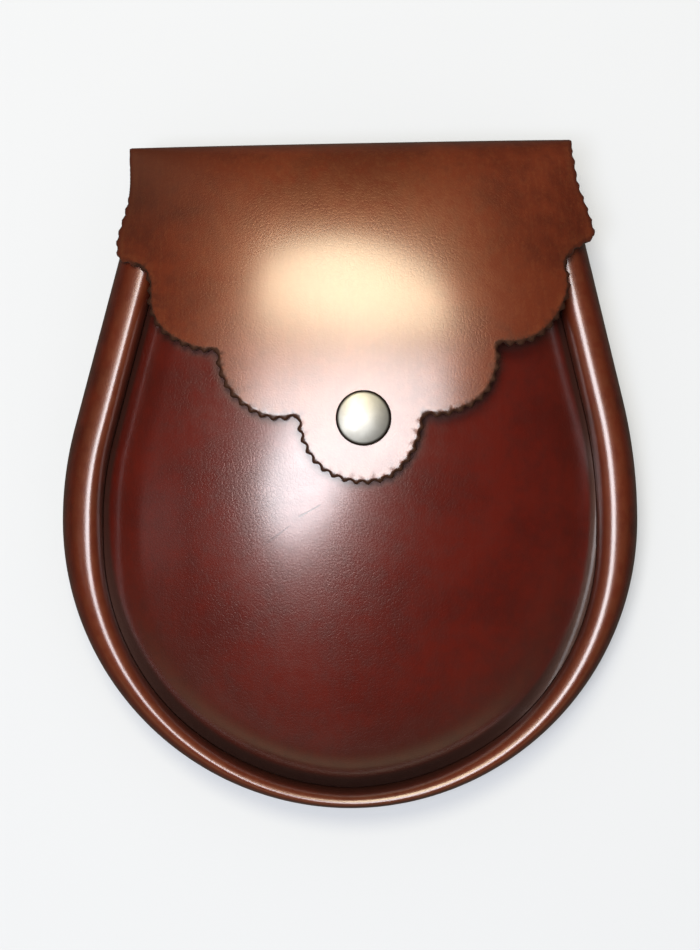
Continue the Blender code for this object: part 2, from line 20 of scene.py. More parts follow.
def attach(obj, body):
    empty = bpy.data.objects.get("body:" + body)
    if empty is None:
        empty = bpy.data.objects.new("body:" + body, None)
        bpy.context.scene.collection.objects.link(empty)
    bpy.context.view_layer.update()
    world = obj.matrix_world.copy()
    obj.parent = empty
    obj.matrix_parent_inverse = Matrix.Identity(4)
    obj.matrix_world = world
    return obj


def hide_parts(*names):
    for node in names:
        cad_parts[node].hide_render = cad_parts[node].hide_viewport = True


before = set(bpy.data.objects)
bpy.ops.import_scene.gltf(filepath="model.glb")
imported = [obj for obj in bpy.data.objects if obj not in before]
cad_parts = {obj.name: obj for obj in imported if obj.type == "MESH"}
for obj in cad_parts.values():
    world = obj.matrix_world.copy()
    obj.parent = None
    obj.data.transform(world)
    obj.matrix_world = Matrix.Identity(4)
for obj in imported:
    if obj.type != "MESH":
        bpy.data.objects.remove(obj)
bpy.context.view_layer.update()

BODY = "root"
MM = 0.001
LEATHER = 2.0 * MM
GAP = 0.3 * MM
SHADE = "shade"
WEAR = "wear"
STRIP = "strip"
TARNISH_AND_SHADE = "tarnish_and_shade"

log = logging.getLogger("sporran")


class Skin(IntEnum):
    """The faces of a piece of leather, by material slot."""

    GRAIN = 0
    CUT = 1
    FLESH = 2


class Way(Enum):
    """How a path of stitches is closed."""

    OPEN = "open"
    CLOSED = "closed"


# How the pouch lies


@dataclass(frozen=True)
class Lie:
    """The lean of the pouch on the floor, about the pressed bottom of its back."""

    lean: float = math.radians(3.2)
    rest_y: float = -93.0 * MM
    shift_y: float = 0.78 * MM

    def matrix(self) -> Matrix:
        """Returns the change from the pouch's frame to the room's."""
        place = Vector((0.0, self.shift_y, -self.rest_y * math.sin(self.lean)))
        return Matrix.Translation(place) @ Matrix.Rotation(self.lean, 4, "X")

    def floor_below(self, y: float) -> float:
        """Returns the height of the floor under the back, in the pouch's frame."""
        return (self.rest_y - y) * math.tan(self.lean)


LIE = Lie()


# Numbers along curves


def smooth_step(value: np.ndarray) -> np.ndarray:
    """Rises smoothly from 0 to 1 as the value does."""
    value = np.clip(value, 0.0, 1.0)
    return value * value * (3.0 - 2.0 * value)


def smooth_curve(points: list[tuple[float, float]], steps: int) -> np.ndarray:
    """Returns dense points of a smooth curve through the given ones.

    Args:
        points: The known points, in metres.
        steps: How many points each span gets.

    Returns:
        The dense points, ending with the last known one.
    """
    known = [np.array(point) for point in points]
    known = [2.0 * known[0] - known[1]] + known + [2.0 * known[-1] - known[-2]]
    dense = []
    for before, start, end, after in zip(known, known[1:], known[2:], known[3:]):
        for t in np.arange(steps) / steps:
            dense.append(0.5 * (2.0 * start + (end - before) * t
                                + (2.0 * before - 5.0 * start + 4.0 * end - after) * t ** 2
                                + (3.0 * start - before - 3.0 * end + after) * t ** 3))
    dense.append(known[-2])
    return np.array(dense)


def resample(points: np.ndarray, count: int) -> np.ndarray:
    """Returns points at equal distances along a line.

    Args:
        points: The line's own points.
        count: How many points to return, both ends included.
    """
    lengths = np.linalg.norm(np.diff(points, axis=0), axis=1)
    along = np.concatenate(([0.0], np.cumsum(lengths)))
    places = np.linspace(0.0, along[-1], count)
    return np.column_stack([np.interp(places, along, column) for column in points.T])


def quarter(centre: tuple[float, float], half_axes: tuple[float, float], start: float, end: float,
            steps: int, power: float = 2.0) -> list[tuple[float, float]]:
    """Lists points on an ellipse's arc, or on a fuller one for powers above 2.

    Args:
        centre: The ellipse's centre.
        half_axes: Its half axes.
        start: The angle of the first point.
        end: The angle after the last point, which is left out.
        steps: The number of points.
        power: 2 for an ellipse, more for one with flatter sides.
    """
    points = []
    for i in range(steps):
        angle = start + (end - start) * i / steps
        across, up = (math.copysign(abs(turn) ** (2.0 / power), turn)
                      for turn in (math.cos(angle), math.sin(angle)))
        points.append((centre[0] + half_axes[0] * across, centre[1] + half_axes[1] * up))
    return points


def circle_points(centre: tuple[float, float], radius: float, sides: int) -> np.ndarray:
    """Returns the points of a circle."""
    angles = 2.0 * math.pi * np.arange(sides) / sides
    return np.column_stack((centre[0] + radius * np.cos(angles), centre[1] + radius * np.sin(angles)))


def grid_points(low: tuple[float, float], high: tuple[float, float], step: float) -> np.ndarray:
    """Returns the points of a staggered grid over a rectangle.

    Args:
        low: The rectangle's lowest corner.
        high: Its highest corner.
        step: The distance between neighbours in a row.
    """
    row_step = step * math.sqrt(3.0) / 2.0
    rows = int((high[1] - low[1]) / row_step) + 1
    columns = int((high[0] - low[0]) / step) + 1
    points = []
    for row in range(rows):
        xs = low[0] + 0.5 * step * (row % 2) + step * np.arange(columns)
        points.append(np.column_stack((xs, np.full(columns, low[1] + row * row_step))))
    return np.concatenate(points)


def nearest(points: np.ndarray, others: np.ndarray) -> np.ndarray:
    """Returns each point's distance to the nearest of the others.

    Args:
        points: The points to measure from.
        others: The points to measure to.
    """
    found = []
    for part in np.array_split(points, max(1, len(points) // 500)):
        gaps = part[:, None, :] - others[None, :, :]
        found.append(np.sqrt((gaps ** 2).sum(axis=2).min(axis=1)))
    return np.concatenate(found)


def inside(points: np.ndarray, loop: np.ndarray) -> np.ndarray:
    """Tells which points are inside a closed loop.

    Args:
        points: The points to test.
        loop: The loop's corners.

    Returns:
        True for each point that is inside.
    """
    within = np.zeros(len(points), bool)
    for (ax, ay), (bx, by) in zip(loop, np.roll(loop, -1, axis=0)):
        if ay == by:
            continue
        crosses = (ay > points[:, 1]) != (by > points[:, 1])
        within ^= crosses & (points[:, 0] < ax + (bx - ax) * (points[:, 1] - ay) / (by - ay))
    return within


# The body's outline and its rolled rim


class Side(NamedTuple):
    """One side above the half circle: the radius of its arc and the taper it turns to."""

    sign: float
    radius: float
    taper: float


class RimWidth(NamedTuple):
    """Width of the rim at an angle below the widest line of the body, in degrees."""

    angle: float
    width: float


class Stations(NamedTuple):
    """Places along the outline: points, outward normals, the rim's width and the way along.

    `turn` is the angle of the normal in degrees: -90 at the left, 0 at the bottom and 90 at the right.
    """

    at: np.ndarray
    normal: np.ndarray
    rim: np.ndarray
    at_mouth: np.ndarray
    along: np.ndarray
    turn: np.ndarray


@dataclass(frozen=True)
class Outline:
    """The body from the front: a half circle, and an arc and a taper up each side."""

    radius: float = 87.2 * MM
    centre_y: float = -13.7 * MM
    left: Side = Side(-1.0, 109.4 * MM, math.radians(14.8))
    right: Side = Side(1.0, 155.0 * MM, math.radians(13.6))
    mouth_y: float = 82.0 * MM
    rim_widths: tuple[RimWidth, ...] = (
        RimWidth(0.0, 13.1 * MM),
        RimWidth(28.0, 10.1 * MM),
        RimWidth(45.0, 8.4 * MM),
        RimWidth(60.0, 7.6 * MM),
        RimWidth(90.0, 6.1 * MM),
    )
    blend_angle: float = 6.0
    groove_depth: float = 2.8 * MM
    groove_reach: float = 58.0
    groove_fade: float = 1.25

    def groove(self, turn: np.ndarray | float) -> np.ndarray:
        """Returns how much deeper the seam lies at a turn round the bottom, in degrees."""
        return self.groove_depth * smooth_step(self.groove_fade - np.abs(turn) / self.groove_reach)

    def rim_width(self, angle: float) -> float:
        """Returns the rim's width, blended between the measured ones.

        Args:
            angle: The angle below the widest line, in degrees.
        """
        angles = [row.angle for row in self.rim_widths]
        widths = [row.width for row in self.rim_widths]
        around = np.linspace(angle - self.blend_angle, angle + self.blend_angle, 9)
        return float(np.interp(np.abs(around), angles, widths).mean())

    def side_rows(self, side: Side, step: float) -> list[tuple[float, ...]]:
        """Lists the rows of one side, from the mouth down to the half circle.

        Args:
            side: The side.
            step: The distance between rows.

        Returns:
            X, Y, the normal's X and Y, and the rim's width, for each row.
        """
        centre_x = side.sign * (self.radius - side.radius)
        turn_x = centre_x + side.sign * side.radius * math.cos(side.taper)
        turn_y = self.centre_y + side.radius * math.sin(side.taper)
        normal = (side.sign * math.cos(side.taper), math.sin(side.taper))
        rim = self.rim_width(0.0)
        rows = []
        for y in np.linspace(self.mouth_y, turn_y, round((self.mouth_y - turn_y) / step) + 1)[:-1]:
            rows.append((turn_x - side.sign * (y - turn_y) * math.tan(side.taper), y, *normal, rim))
        for angle in np.linspace(side.taper, 0.0, round(side.radius * side.taper / step) + 1)[:-1]:
            nx, ny = side.sign * math.cos(angle), math.sin(angle)
            rows.append((centre_x + side.radius * nx, self.centre_y + side.radius * ny, nx, ny, rim))
        return rows

    def stations(self, step: float) -> Stations:
        """Measures the outline from the left end of the mouth round the bottom to the right end.

        Args:
            step: The distance between stations.

        Returns:
            The stations.
        """
        rows = self.side_rows(self.left, step)
        steps = round(math.pi * self.radius / step)
        for i in range(steps + 1):
            angle = math.pi * i / steps
            nx, ny = -math.cos(angle), -math.sin(angle)
            below = math.degrees(min(angle, math.pi - angle))
            rows.append((self.radius * nx, self.centre_y + self.radius * ny, nx, ny, self.rim_width(below)))
        rows += reversed(self.side_rows(self.right, step))
        table = np.array(rows)
        at_mouth = np.zeros(len(rows), bool)
        at_mouth[[0, -1]] = True
        lengths = np.linalg.norm(np.diff(table[:, :2], axis=0), axis=1)
        along = np.concatenate(([0.0], np.cumsum(lengths)))
        turn = np.degrees(np.arctan2(table[:, 2], -table[:, 3])).clip(-90.0, 90.0)
        return Stations(table[:, :2], table[:, 2:4], table[:, 4], at_mouth, along, turn)

    def inset(self, stations: Stations, depth: np.ndarray | float) -> np.ndarray:
        """Returns the points that lie a depth inside the outline, cut level at the mouth.

        Args:
            stations: The places along the outline.
            depth: How far inside they lie, for all or for each.
        """
        depth = np.broadcast_to(depth, stations.rim.shape)
        points = stations.at - stations.normal * depth[:, None]
        nx, ny = stations.normal.T
        slide = (self.mouth_y - points[:, 1]) / np.abs(nx)
        level_x = points[:, 0] - np.copysign(ny, nx) * slide
        level = np.column_stack((level_x, np.full(len(points), self.mouth_y)))
        return np.where(stations.at_mouth[:, None], level, points)

    def depth_inside(self, stations: Stations, points: np.ndarray) -> np.ndarray:
        """Returns how far points lie inside the seam, for the round-cornered body.

        Args:
            stations: The places along the outline.
            points: The points, as X and Y.
        """
        depth = np.full(len(points), np.inf)
        for at, normal, rim in zip(stations.at, stations.normal, stations.rim):
            depth = np.minimum(depth, (at - points) @ normal - rim - GAP)
        return depth


OUTLINE = Outline()


# Materials


class Nodes:
    """Adds nodes to one tree and joins them."""

    MIX_A, MIX_B, MIX_COLOUR = 6, 7, 2

    def __init__(self, tree: bpy.types.NodeTree) -> None:
        """Starts on a tree."""
        self.tree = tree

    def feed(self, socket: bpy.types.NodeSocket, value: Any) -> None:
        """Joins an output to a socket, or sets the socket to a plain value."""
        if isinstance(value, bpy.types.NodeSocket):
            self.tree.links.new(value, socket)
        else:
            socket.default_value = value

    def add(self, kind: str, inputs: dict[str | int, Any] | None = None, **settings: Any) -> bpy.types.Node:
        """Adds a node.

        Args:
            kind: The node's type.
            inputs: Values or output sockets for its inputs, by name or number.
            settings: The node's own properties.

        Returns:
            The node.
        """
        node = self.tree.nodes.new(kind)
        for name, value in settings.items():
            setattr(node, name, value)
        for name, value in (inputs or {}).items():
            self.feed(node.inputs[name], value)
        return node

    def math(self, operation: str, a: Any, b: Any = 0.0) -> bpy.types.NodeSocket:
        """Returns the result of a Math node."""
        return self.add("ShaderNodeMath", {0: a, 1: b}, operation=operation).outputs[0]

    def span(self, value: Any, low: float, high: float, to_low: float = 0.0,
             to_high: float = 1.0) -> bpy.types.NodeSocket:
        """Returns a value moved smoothly from one range to another, and held at its ends.

        Args:
            value: The value's socket.
            low: The value that gives to_low.
            high: The value that gives to_high.
            to_low: The result's start.
            to_high: The result's end.
        """
        node = self.add("ShaderNodeMapRange", {"Value": value, "From Min": low, "From Max": high,
                                               "To Min": to_low, "To Max": to_high})
        node.interpolation_type = "SMOOTHSTEP"
        return node.outputs["Result"]

    def blend(self, share: Any, a: Any, b: Any) -> bpy.types.NodeSocket:
        """Returns two colours blended by a share."""
        node = self.add("ShaderNodeMix", {0: share}, data_type="RGBA", blend_type="MIX", clamp_factor=True)
        self.feed(node.inputs[self.MIX_A], a)
        self.feed(node.inputs[self.MIX_B], b)
        return node.outputs[self.MIX_COLOUR]

    def noise(self, vector: Any, scale: Any, detail: float = 3.0, rough: float = 0.5,
              warp: float = 0.0) -> bpy.types.NodeSocket:
        """Returns a Noise Texture's value.

        Args:
            vector: Where the noise is read.
            scale: How many of its waves a metre has.
            detail: How many finer waves are added.
            rough: How strong the finer ones are.
            warp: How far it is distorted.
        """
        node = self.add("ShaderNodeTexNoise", {"Vector": vector, "Scale": scale, "Detail": detail,
                                               "Roughness": rough, "Distortion": warp})
        return node.outputs["Fac"]

    def attribute(self, name: str) -> bpy.types.Node:
        """Returns a node that reads an attribute of the mesh."""
        return self.add("ShaderNodeAttribute", attribute_name=name)

    def place(self) -> bpy.types.NodeSocket:
        """Returns the object's own coordinates."""
        return self.add("ShaderNodeTexCoord").outputs["Object"]

    def stretched(self, vector: Any, along: float) -> bpy.types.NodeSocket:
        """Returns coordinates on which a pattern is drawn out along Y."""
        return self.add("ShaderNodeMapping", {"Vector": vector, "Scale": (1.0, along, 1.0)}).outputs["Vector"]

    def bump(self, height: Any, depth: float, normal: Any = None, sunk: bool = False) -> bpy.types.NodeSocket:
        """Returns the normal of a surface that a pattern raises or dents.

        Args:
            height: The pattern's height, as a share of the depth.
            depth: The depth, in metres.
            normal: The normal underneath, if it isn't the surface's own.
            sunk: Whether the pattern goes down.
        """
        inputs = {"Height": height, "Distance": depth, "Strength": 1.0}
        if normal is not None:
            inputs["Normal"] = normal
        return self.add("ShaderNodeBump", inputs, invert=sunk).outputs["Normal"]


def rgb(red: float, green: float, blue: float) -> tuple[float, float, float, float]:
    """Returns a linear colour as a node's socket wants it."""
    return (red, green, blue, 1.0)


def start_material(name: str) -> tuple[bpy.types.Material, Nodes, bpy.types.Node]:
    """Makes a material.

    Args:
        name: Its name.

    Returns:
        The material, its nodes and its shader.
    """
    material = bpy.data.materials.new(name)
    material.use_nodes = True
    return material, Nodes(material.node_tree), material.node_tree.nodes["Principled BSDF"]


def start_group(name: str, given: dict[str, tuple[str, ...]], made: dict[str, tuple[str, ...]],
                tree_kind: str = "ShaderNodeTree") -> Nodes:
    """Starts a group of nodes.

    Args:
        name: The group's name.
        given: The names of its inputs, by their kind.
        made: The names of its outputs, by their kind.
        tree_kind: The kind of nodes in it.

    Returns:
        The group's nodes.
    """
    tree = bpy.data.node_groups.new(name, tree_kind)
    for way, sockets in (("INPUT", given), ("OUTPUT", made)):
        for kind, names in sockets.items():
            for socket in names:
                tree.interface.new_socket(socket, in_out=way, socket_type="NodeSocket" + kind)
    return Nodes(tree)


@dataclass(frozen=True)
class LeatherLook:
    """The shared look of antiqued, waxed leather. A pattern's scale is in waves a metre."""

    blotches: float = 34.0
    clouds: float = 240.0
    cloud_share: float = 0.38
    streaks: float = 650.0
    flecks: float = 900.0
    fleck_strength: float = 0.035
    veins: float = 760.0
    vein_width: float = 0.20
    pores: float = 2300.0
    drawn_out: float = 0.10
    pebble_height: float = 0.45
    pore_height: float = 0.35
    streak_height: float = 0.28
    shade_dulls: float = 0.35

    def colour(self, nodes: Nodes, given: Any, broad: Any, fine: Any) -> bpy.types.NodeSocket:
        """Adds the colour: mottled, flecked and worn, and dark where it is dyed and where shade is painted in.

        Args:
            nodes: The group's nodes.
            given: The group's inputs.
            broad: The broad blotches.
            fine: The fine clouds.

        Returns:
            The colour.
        """
        place = given["Vector"]
        mixed = nodes.math("ADD", nodes.math("MULTIPLY", broad, 1.0 - self.cloud_share),
                           nodes.math("MULTIPLY", fine, self.cloud_share))
        mottle = nodes.math("MULTIPLY", nodes.span(mixed, 0.38, 0.64), given["Mottle"])
        colour = nodes.blend(mottle, given["Base"], given["Deep"])
        fibres = nodes.noise(nodes.stretched(place, self.drawn_out), self.flecks)
        flecks = nodes.math("MULTIPLY", nodes.noise(place, self.flecks, 3.0, 0.65), fibres)
        flecks = nodes.math("MULTIPLY", nodes.span(flecks, 0.22, 0.38),
                            nodes.math("MULTIPLY", given["Mottle"], self.fleck_strength))
        worn = nodes.math("MULTIPLY", given["Wear"], nodes.span(fine, 0.30, 0.62, 0.35, 1.0))
        colour = nodes.blend(nodes.math("ADD", worn, flecks), colour, given["Worn"])
        # The Shade attribute blends to the dark colour: real edge dye, and painted shade in grooves, under the
        # flap and over the fold.
        return nodes.blend(given["Shade"], colour, given["Dye And Shade"])

    def height(self, nodes: Nodes, given: Any, broad: Any, streaks: Any) -> bpy.types.NodeSocket:
        """Adds the grain's height: pebbles, pores, streaks, and veins that come and go.

        Args:
            nodes: The group's nodes.
            given: The group's inputs.
            broad: The broad blotches.
            streaks: The streaks along the hide.

        Returns:
            The height.
        """
        place = given["Vector"]
        cells = nodes.add("ShaderNodeTexVoronoi", {"Vector": place, "Scale": given["Grain Scale"]},
                          feature="F1")
        pebble = nodes.span(cells.outputs["Distance"], 0.1, 0.75, 1.0, 0.0)
        pores = nodes.noise(place, self.pores, 2.0, 0.6)
        height = nodes.math("ADD", nodes.math("MULTIPLY", pebble, self.pebble_height),
                            nodes.math("MULTIPLY", pores, self.pore_height))
        height = nodes.math("ADD", height, nodes.math("MULTIPLY", streaks, self.streak_height))
        net = nodes.add("ShaderNodeTexVoronoi", {"Vector": place, "Scale": self.veins},
                        feature="DISTANCE_TO_EDGE")
        veins = nodes.span(net.outputs["Distance"], 0.0, self.vein_width, -1.0, 0.0)
        strength = nodes.span(broad, 0.40, 0.62, 0.15, 0.70)
        return nodes.math("ADD", height, nodes.math("MULTIPLY", veins, strength))

    def make(self) -> bpy.types.NodeTree:
        """Builds the group.

        Returns:
            A group with the colour, the roughness, the coat and the height of the grain.
        """
        nodes = start_group(
            "antiqued_leather",
            {"Vector": ("Vector",), "Color": ("Base", "Deep", "Worn", "Dye And Shade"),
             "Float": ("Mottle", "Wear", "Shade", "Roughness", "Coat", "Grain Scale")},
            {"Color": ("Colour",), "Float": ("Roughness", "Coat", "Height")})
        given = nodes.add("NodeGroupInput").outputs
        broad = nodes.noise(given["Vector"], self.blotches, 4.0, 0.55, 0.4)
        fine = nodes.noise(given["Vector"], self.clouds, 4.0, 0.6)
        streaks = nodes.noise(nodes.stretched(given["Vector"], self.drawn_out), self.streaks, 3.0, 0.55)
        gloss = nodes.math("ADD", given["Roughness"], nodes.span(fine, 0.3, 0.7, -0.03, 0.04))
        gloss = nodes.math("ADD", gloss, nodes.span(streaks, 0.3, 0.7, -0.01, 0.01))
        gloss = nodes.math("ADD", gloss, nodes.math("MULTIPLY", given["Shade"], self.shade_dulls))
        coat = nodes.math("MULTIPLY", given["Coat"], nodes.span(given["Shade"], 0.45, 1.0, 1.0, 0.1))
        nodes.add("NodeGroupOutput", {"Colour": self.colour(nodes, given, broad, fine), "Roughness": gloss,
                                      "Coat": coat, "Height": self.height(nodes, given, broad, streaks)})
        return nodes.tree


class Mark(NamedTuple):
    """A scratch or a fine fold: its ends in the pouch's frame, its width, depth and darkness."""

    start: tuple[float, float, float]
    end: tuple[float, float, float]
    width: float
    depth: float
    dark: float


def make_mark_group() -> bpy.types.NodeTree:
    """Builds the mask of a straight mark that wavers a little and thins out at its ends.

    Returns:
        The group.
    """
    nodes = start_group("leather_mark", {"Vector": ("Vector", "Start", "End"), "Float": ("Width",)},
                        {"Float": ("Mask",)})
    given = nodes.add("NodeGroupInput").outputs

    def combine(operation: str, a: Any, b: Any) -> bpy.types.Node:
        """Returns a Vector Math node."""
        return nodes.add("ShaderNodeVectorMath", {0: a, 1: b}, operation=operation)

    level = combine("MULTIPLY", given["Vector"], (1.0, 1.0, 0.0)).outputs[0]
    run = combine("SUBTRACT", given["End"], given["Start"]).outputs[0]
    reach = combine("SUBTRACT", level, given["Start"]).outputs[0]
    along = combine("DOT_PRODUCT", reach, run).outputs["Value"]
    whole = combine("DOT_PRODUCT", run, run).outputs["Value"]
    share = nodes.math("DIVIDE", along, whole)
    share = nodes.math("MINIMUM", nodes.math("MAXIMUM", share, 0.0), 1.0)
    closest = nodes.add("ShaderNodeVectorMath", {0: run, "Scale": share}, operation="SCALE").outputs[0]
    away = combine("DISTANCE", reach, closest).outputs["Value"]
    waver = nodes.noise(given["Vector"], 160.0, 3.0, 0.6)
    swing = nodes.math("MULTIPLY", given["Width"], 5.0)
    shift = nodes.math("MULTIPLY", nodes.math("SUBTRACT", waver, 0.5), swing)
    distance = nodes.math("ABSOLUTE", nodes.math("ADD", away, shift))
    past_middle = nodes.math("SUBTRACT", nodes.math("MULTIPLY", share, 2.0), 1.0)
    middle = nodes.math("SUBTRACT", 1.0, nodes.math("ABSOLUTE", past_middle))
    near = nodes.math("SUBTRACT", 1.0, nodes.math("DIVIDE", distance, given["Width"]))
    mask = nodes.math("MULTIPLY", nodes.span(near, 0.0, 1.0), nodes.span(middle, 0.0, 0.25))
    nodes.add("NodeGroupOutput", {"Mask": mask})
    return nodes.tree


@dataclass(frozen=True)
class LeatherFinish:
    """A leather's colours, gloss and grain. Its wear and shade follow the piece's attributes."""

    name: str
    base: tuple[float, float, float, float]
    deep: tuple[float, float, float, float]
    worn: tuple[float, float, float, float]
    # Dark colour for dyed edges and dark scratches, and for all painted shade.
    dye_and_shade: tuple[float, float, float, float] = rgb(0.011, 0.003, 0.002)
    sheen: tuple[float, float, float, float] = rgb(1.0, 0.54, 0.36)
    shine: float = 0.45
    roughness: float = 0.38
    coat: float = 0.9
    coat_roughness: float = 0.20
    mottle: float = 0.9
    grain_scale: float = 1500.0
    grain_depth: float = 0.034 * MM
    creased: bool = False
    crease_scale: float = 520.0
    crease_draw: float = 0.10
    crease_depth: float = 0.12 * MM
    marks: tuple[Mark, ...] = ()

    def mark(self, nodes: Nodes, group: bpy.types.NodeTree, colour: Any, normal: Any) -> tuple[Any, Any]:
        """Adds the marks to a colour and a normal.

        Args:
            nodes: The material's nodes.
            group: The mask of a mark.
            colour: The colour without them.
            normal: The normal without them.

        Returns:
            The colour and the normal with them.
        """
        place = nodes.place()
        for mark in self.marks:
            start, end = (LIE.matrix() @ Vector(point) for point in (mark.start, mark.end))
            inputs = {"Vector": place, "Start": (start.x, start.y, 0.0), "End": (end.x, end.y, 0.0),
                      "Width": mark.width}
            mask = nodes.add("ShaderNodeGroup", inputs, node_tree=group).outputs["Mask"]
            colour = nodes.blend(nodes.math("MULTIPLY", mask, mark.dark), colour, self.dye_and_shade)
            normal = nodes.bump(mask, mark.depth, normal, sunk=True)
        return colour, normal

    def make(self, group: bpy.types.NodeTree, mark_group: bpy.types.NodeTree) -> bpy.types.Material:
        """Builds the material.

        Args:
            group: The shared leather look.
            mark_group: The mask of a mark.

        Returns:
            The material.
        """
        material, nodes, shader = start_material(self.name)
        inputs = {"Vector": nodes.place(), "Base": self.base, "Deep": self.deep, "Worn": self.worn,
                  "Dye And Shade": self.dye_and_shade, "Mottle": self.mottle, "Roughness": self.roughness, "Coat": self.coat,
                  "Grain Scale": self.grain_scale, "Shade": nodes.attribute(SHADE).outputs["Fac"],
                  "Wear": nodes.attribute(WEAR).outputs["Fac"]}
        look = nodes.add("ShaderNodeGroup", inputs, node_tree=group)
        normal = nodes.bump(look.outputs["Height"], self.grain_depth)
        if self.creased:
            strip = nodes.stretched(nodes.attribute(STRIP).outputs["Vector"], self.crease_draw)
            crease = nodes.noise(strip, self.crease_scale, 3.0, 0.6)
            normal = nodes.bump(crease, self.crease_depth, normal)
        colour, normal = self.mark(nodes, mark_group, look.outputs["Colour"], normal)
        for name, value in (("Base Color", colour), ("Roughness", look.outputs["Roughness"]),
                            ("Coat Weight", look.outputs["Coat"]), ("Normal", normal)):
            nodes.feed(shader.inputs[name], value)
        shader.inputs["Coat Roughness"].default_value = self.coat_roughness
        shader.inputs["Specular IOR Level"].default_value = self.shine
        shader.inputs["Specular Tint"].default_value = self.sheen
        return material


@dataclass(frozen=True)
class FleshFinish:
    """The fibrous inner side of the leather, or its cut edge."""

    name: str
    light: tuple[float, float, float, float]
    dark: tuple[float, float, float, float]
    roughness: float = 0.85
    nap_scale: float = 900.0
    nap_depth: float = 0.10 * MM

    def make(self) -> bpy.types.Material:
        """Builds the material."""
        material, nodes, shader = start_material(self.name)
        place = nodes.place()
        fibres = nodes.noise(place, self.nap_scale, 4.0, 0.7, 0.6)
        clouds = nodes.noise(place, 0.1 * self.nap_scale, 3.0, 0.5)
        share = nodes.span(nodes.math("ADD", fibres, clouds), 0.75, 1.25)
        nodes.feed(shader.inputs["Base Color"], nodes.blend(share, self.dark, self.light))
        nodes.feed(shader.inputs["Roughness"],
                   nodes.span(fibres, 0.3, 0.7, self.roughness - 0.08, self.roughness + 0.06))
        nodes.feed(shader.inputs["Normal"], nodes.bump(fibres, self.nap_depth))
        return material


@dataclass(frozen=True)
class MetalFinish:
    """A satin metal with smears, fine handling marks and, on the cap, a dark rolled edge: tarnish and painted
    shade.
    """

    name: str
    bright: tuple[float, float, float, float]
    dull: tuple[float, float, float, float]
    roughness: float
    tarnished_and_shaded: bool = False
    tarnish_and_shade: tuple[float, float, float, float] = rgb(0.035, 0.030, 0.026)
    smear_scale: float = 300.0
    mark_scale: float = 2600.0
    mark_depth: float = 0.003 * MM

    def make(self) -> bpy.types.Material:
        """Builds the material."""
        material, nodes, shader = start_material(self.name)
        shader.inputs["Metallic"].default_value = 1.0
        place = nodes.place()
        smears = nodes.noise(place, self.smear_scale, 4.0, 0.6, 0.5)
        colour = nodes.blend(nodes.span(smears, 0.35, 0.68), self.bright, self.dull)
        # The cap's dark rolled edge: tarnish, and painted shade for the gap and dark reflection there.
        if self.tarnished_and_shaded:
            colour = nodes.blend(nodes.attribute(TARNISH_AND_SHADE).outputs["Fac"], colour, self.tarnish_and_shade)
        nodes.feed(shader.inputs["Base Color"], colour)
        nodes.feed(shader.inputs["Roughness"],
                   nodes.span(smears, 0.3, 0.7, self.roughness - 0.015, self.roughness + 0.02))
        marks = nodes.noise(place, self.mark_scale, 3.0, 0.6)
        nodes.feed(shader.inputs["Normal"], nodes.bump(marks, self.mark_depth))
        return material


@dataclass(frozen=True)
class ThreadFinish:
    """Waxed thread, with its twist as a fine pattern along each stitch."""

    name: str
    light: tuple[float, float, float, float]
    dark: tuple[float, float, float, float]
    roughness: float = 0.55
    strand_scale: float = 2800.0
    strand_depth: float = 0.05 * MM

    def make(self) -> bpy.types.Material:
        """Builds the material."""
        material, nodes, shader = start_material(self.name)
        place = nodes.place()
        strands = nodes.noise(place, self.strand_scale, 2.0, 0.6, 0.4)
        nodes.feed(shader.inputs["Base Color"],
                   nodes.blend(nodes.span(strands, 0.35, 0.65), self.dark, self.light))
        nodes.feed(shader.inputs["Roughness"],
                   nodes.span(strands, 0.3, 0.7, self.roughness - 0.1, self.roughness + 0.1))
        nodes.feed(shader.inputs["Normal"], nodes.bump(strands, self.strand_depth))
        return material


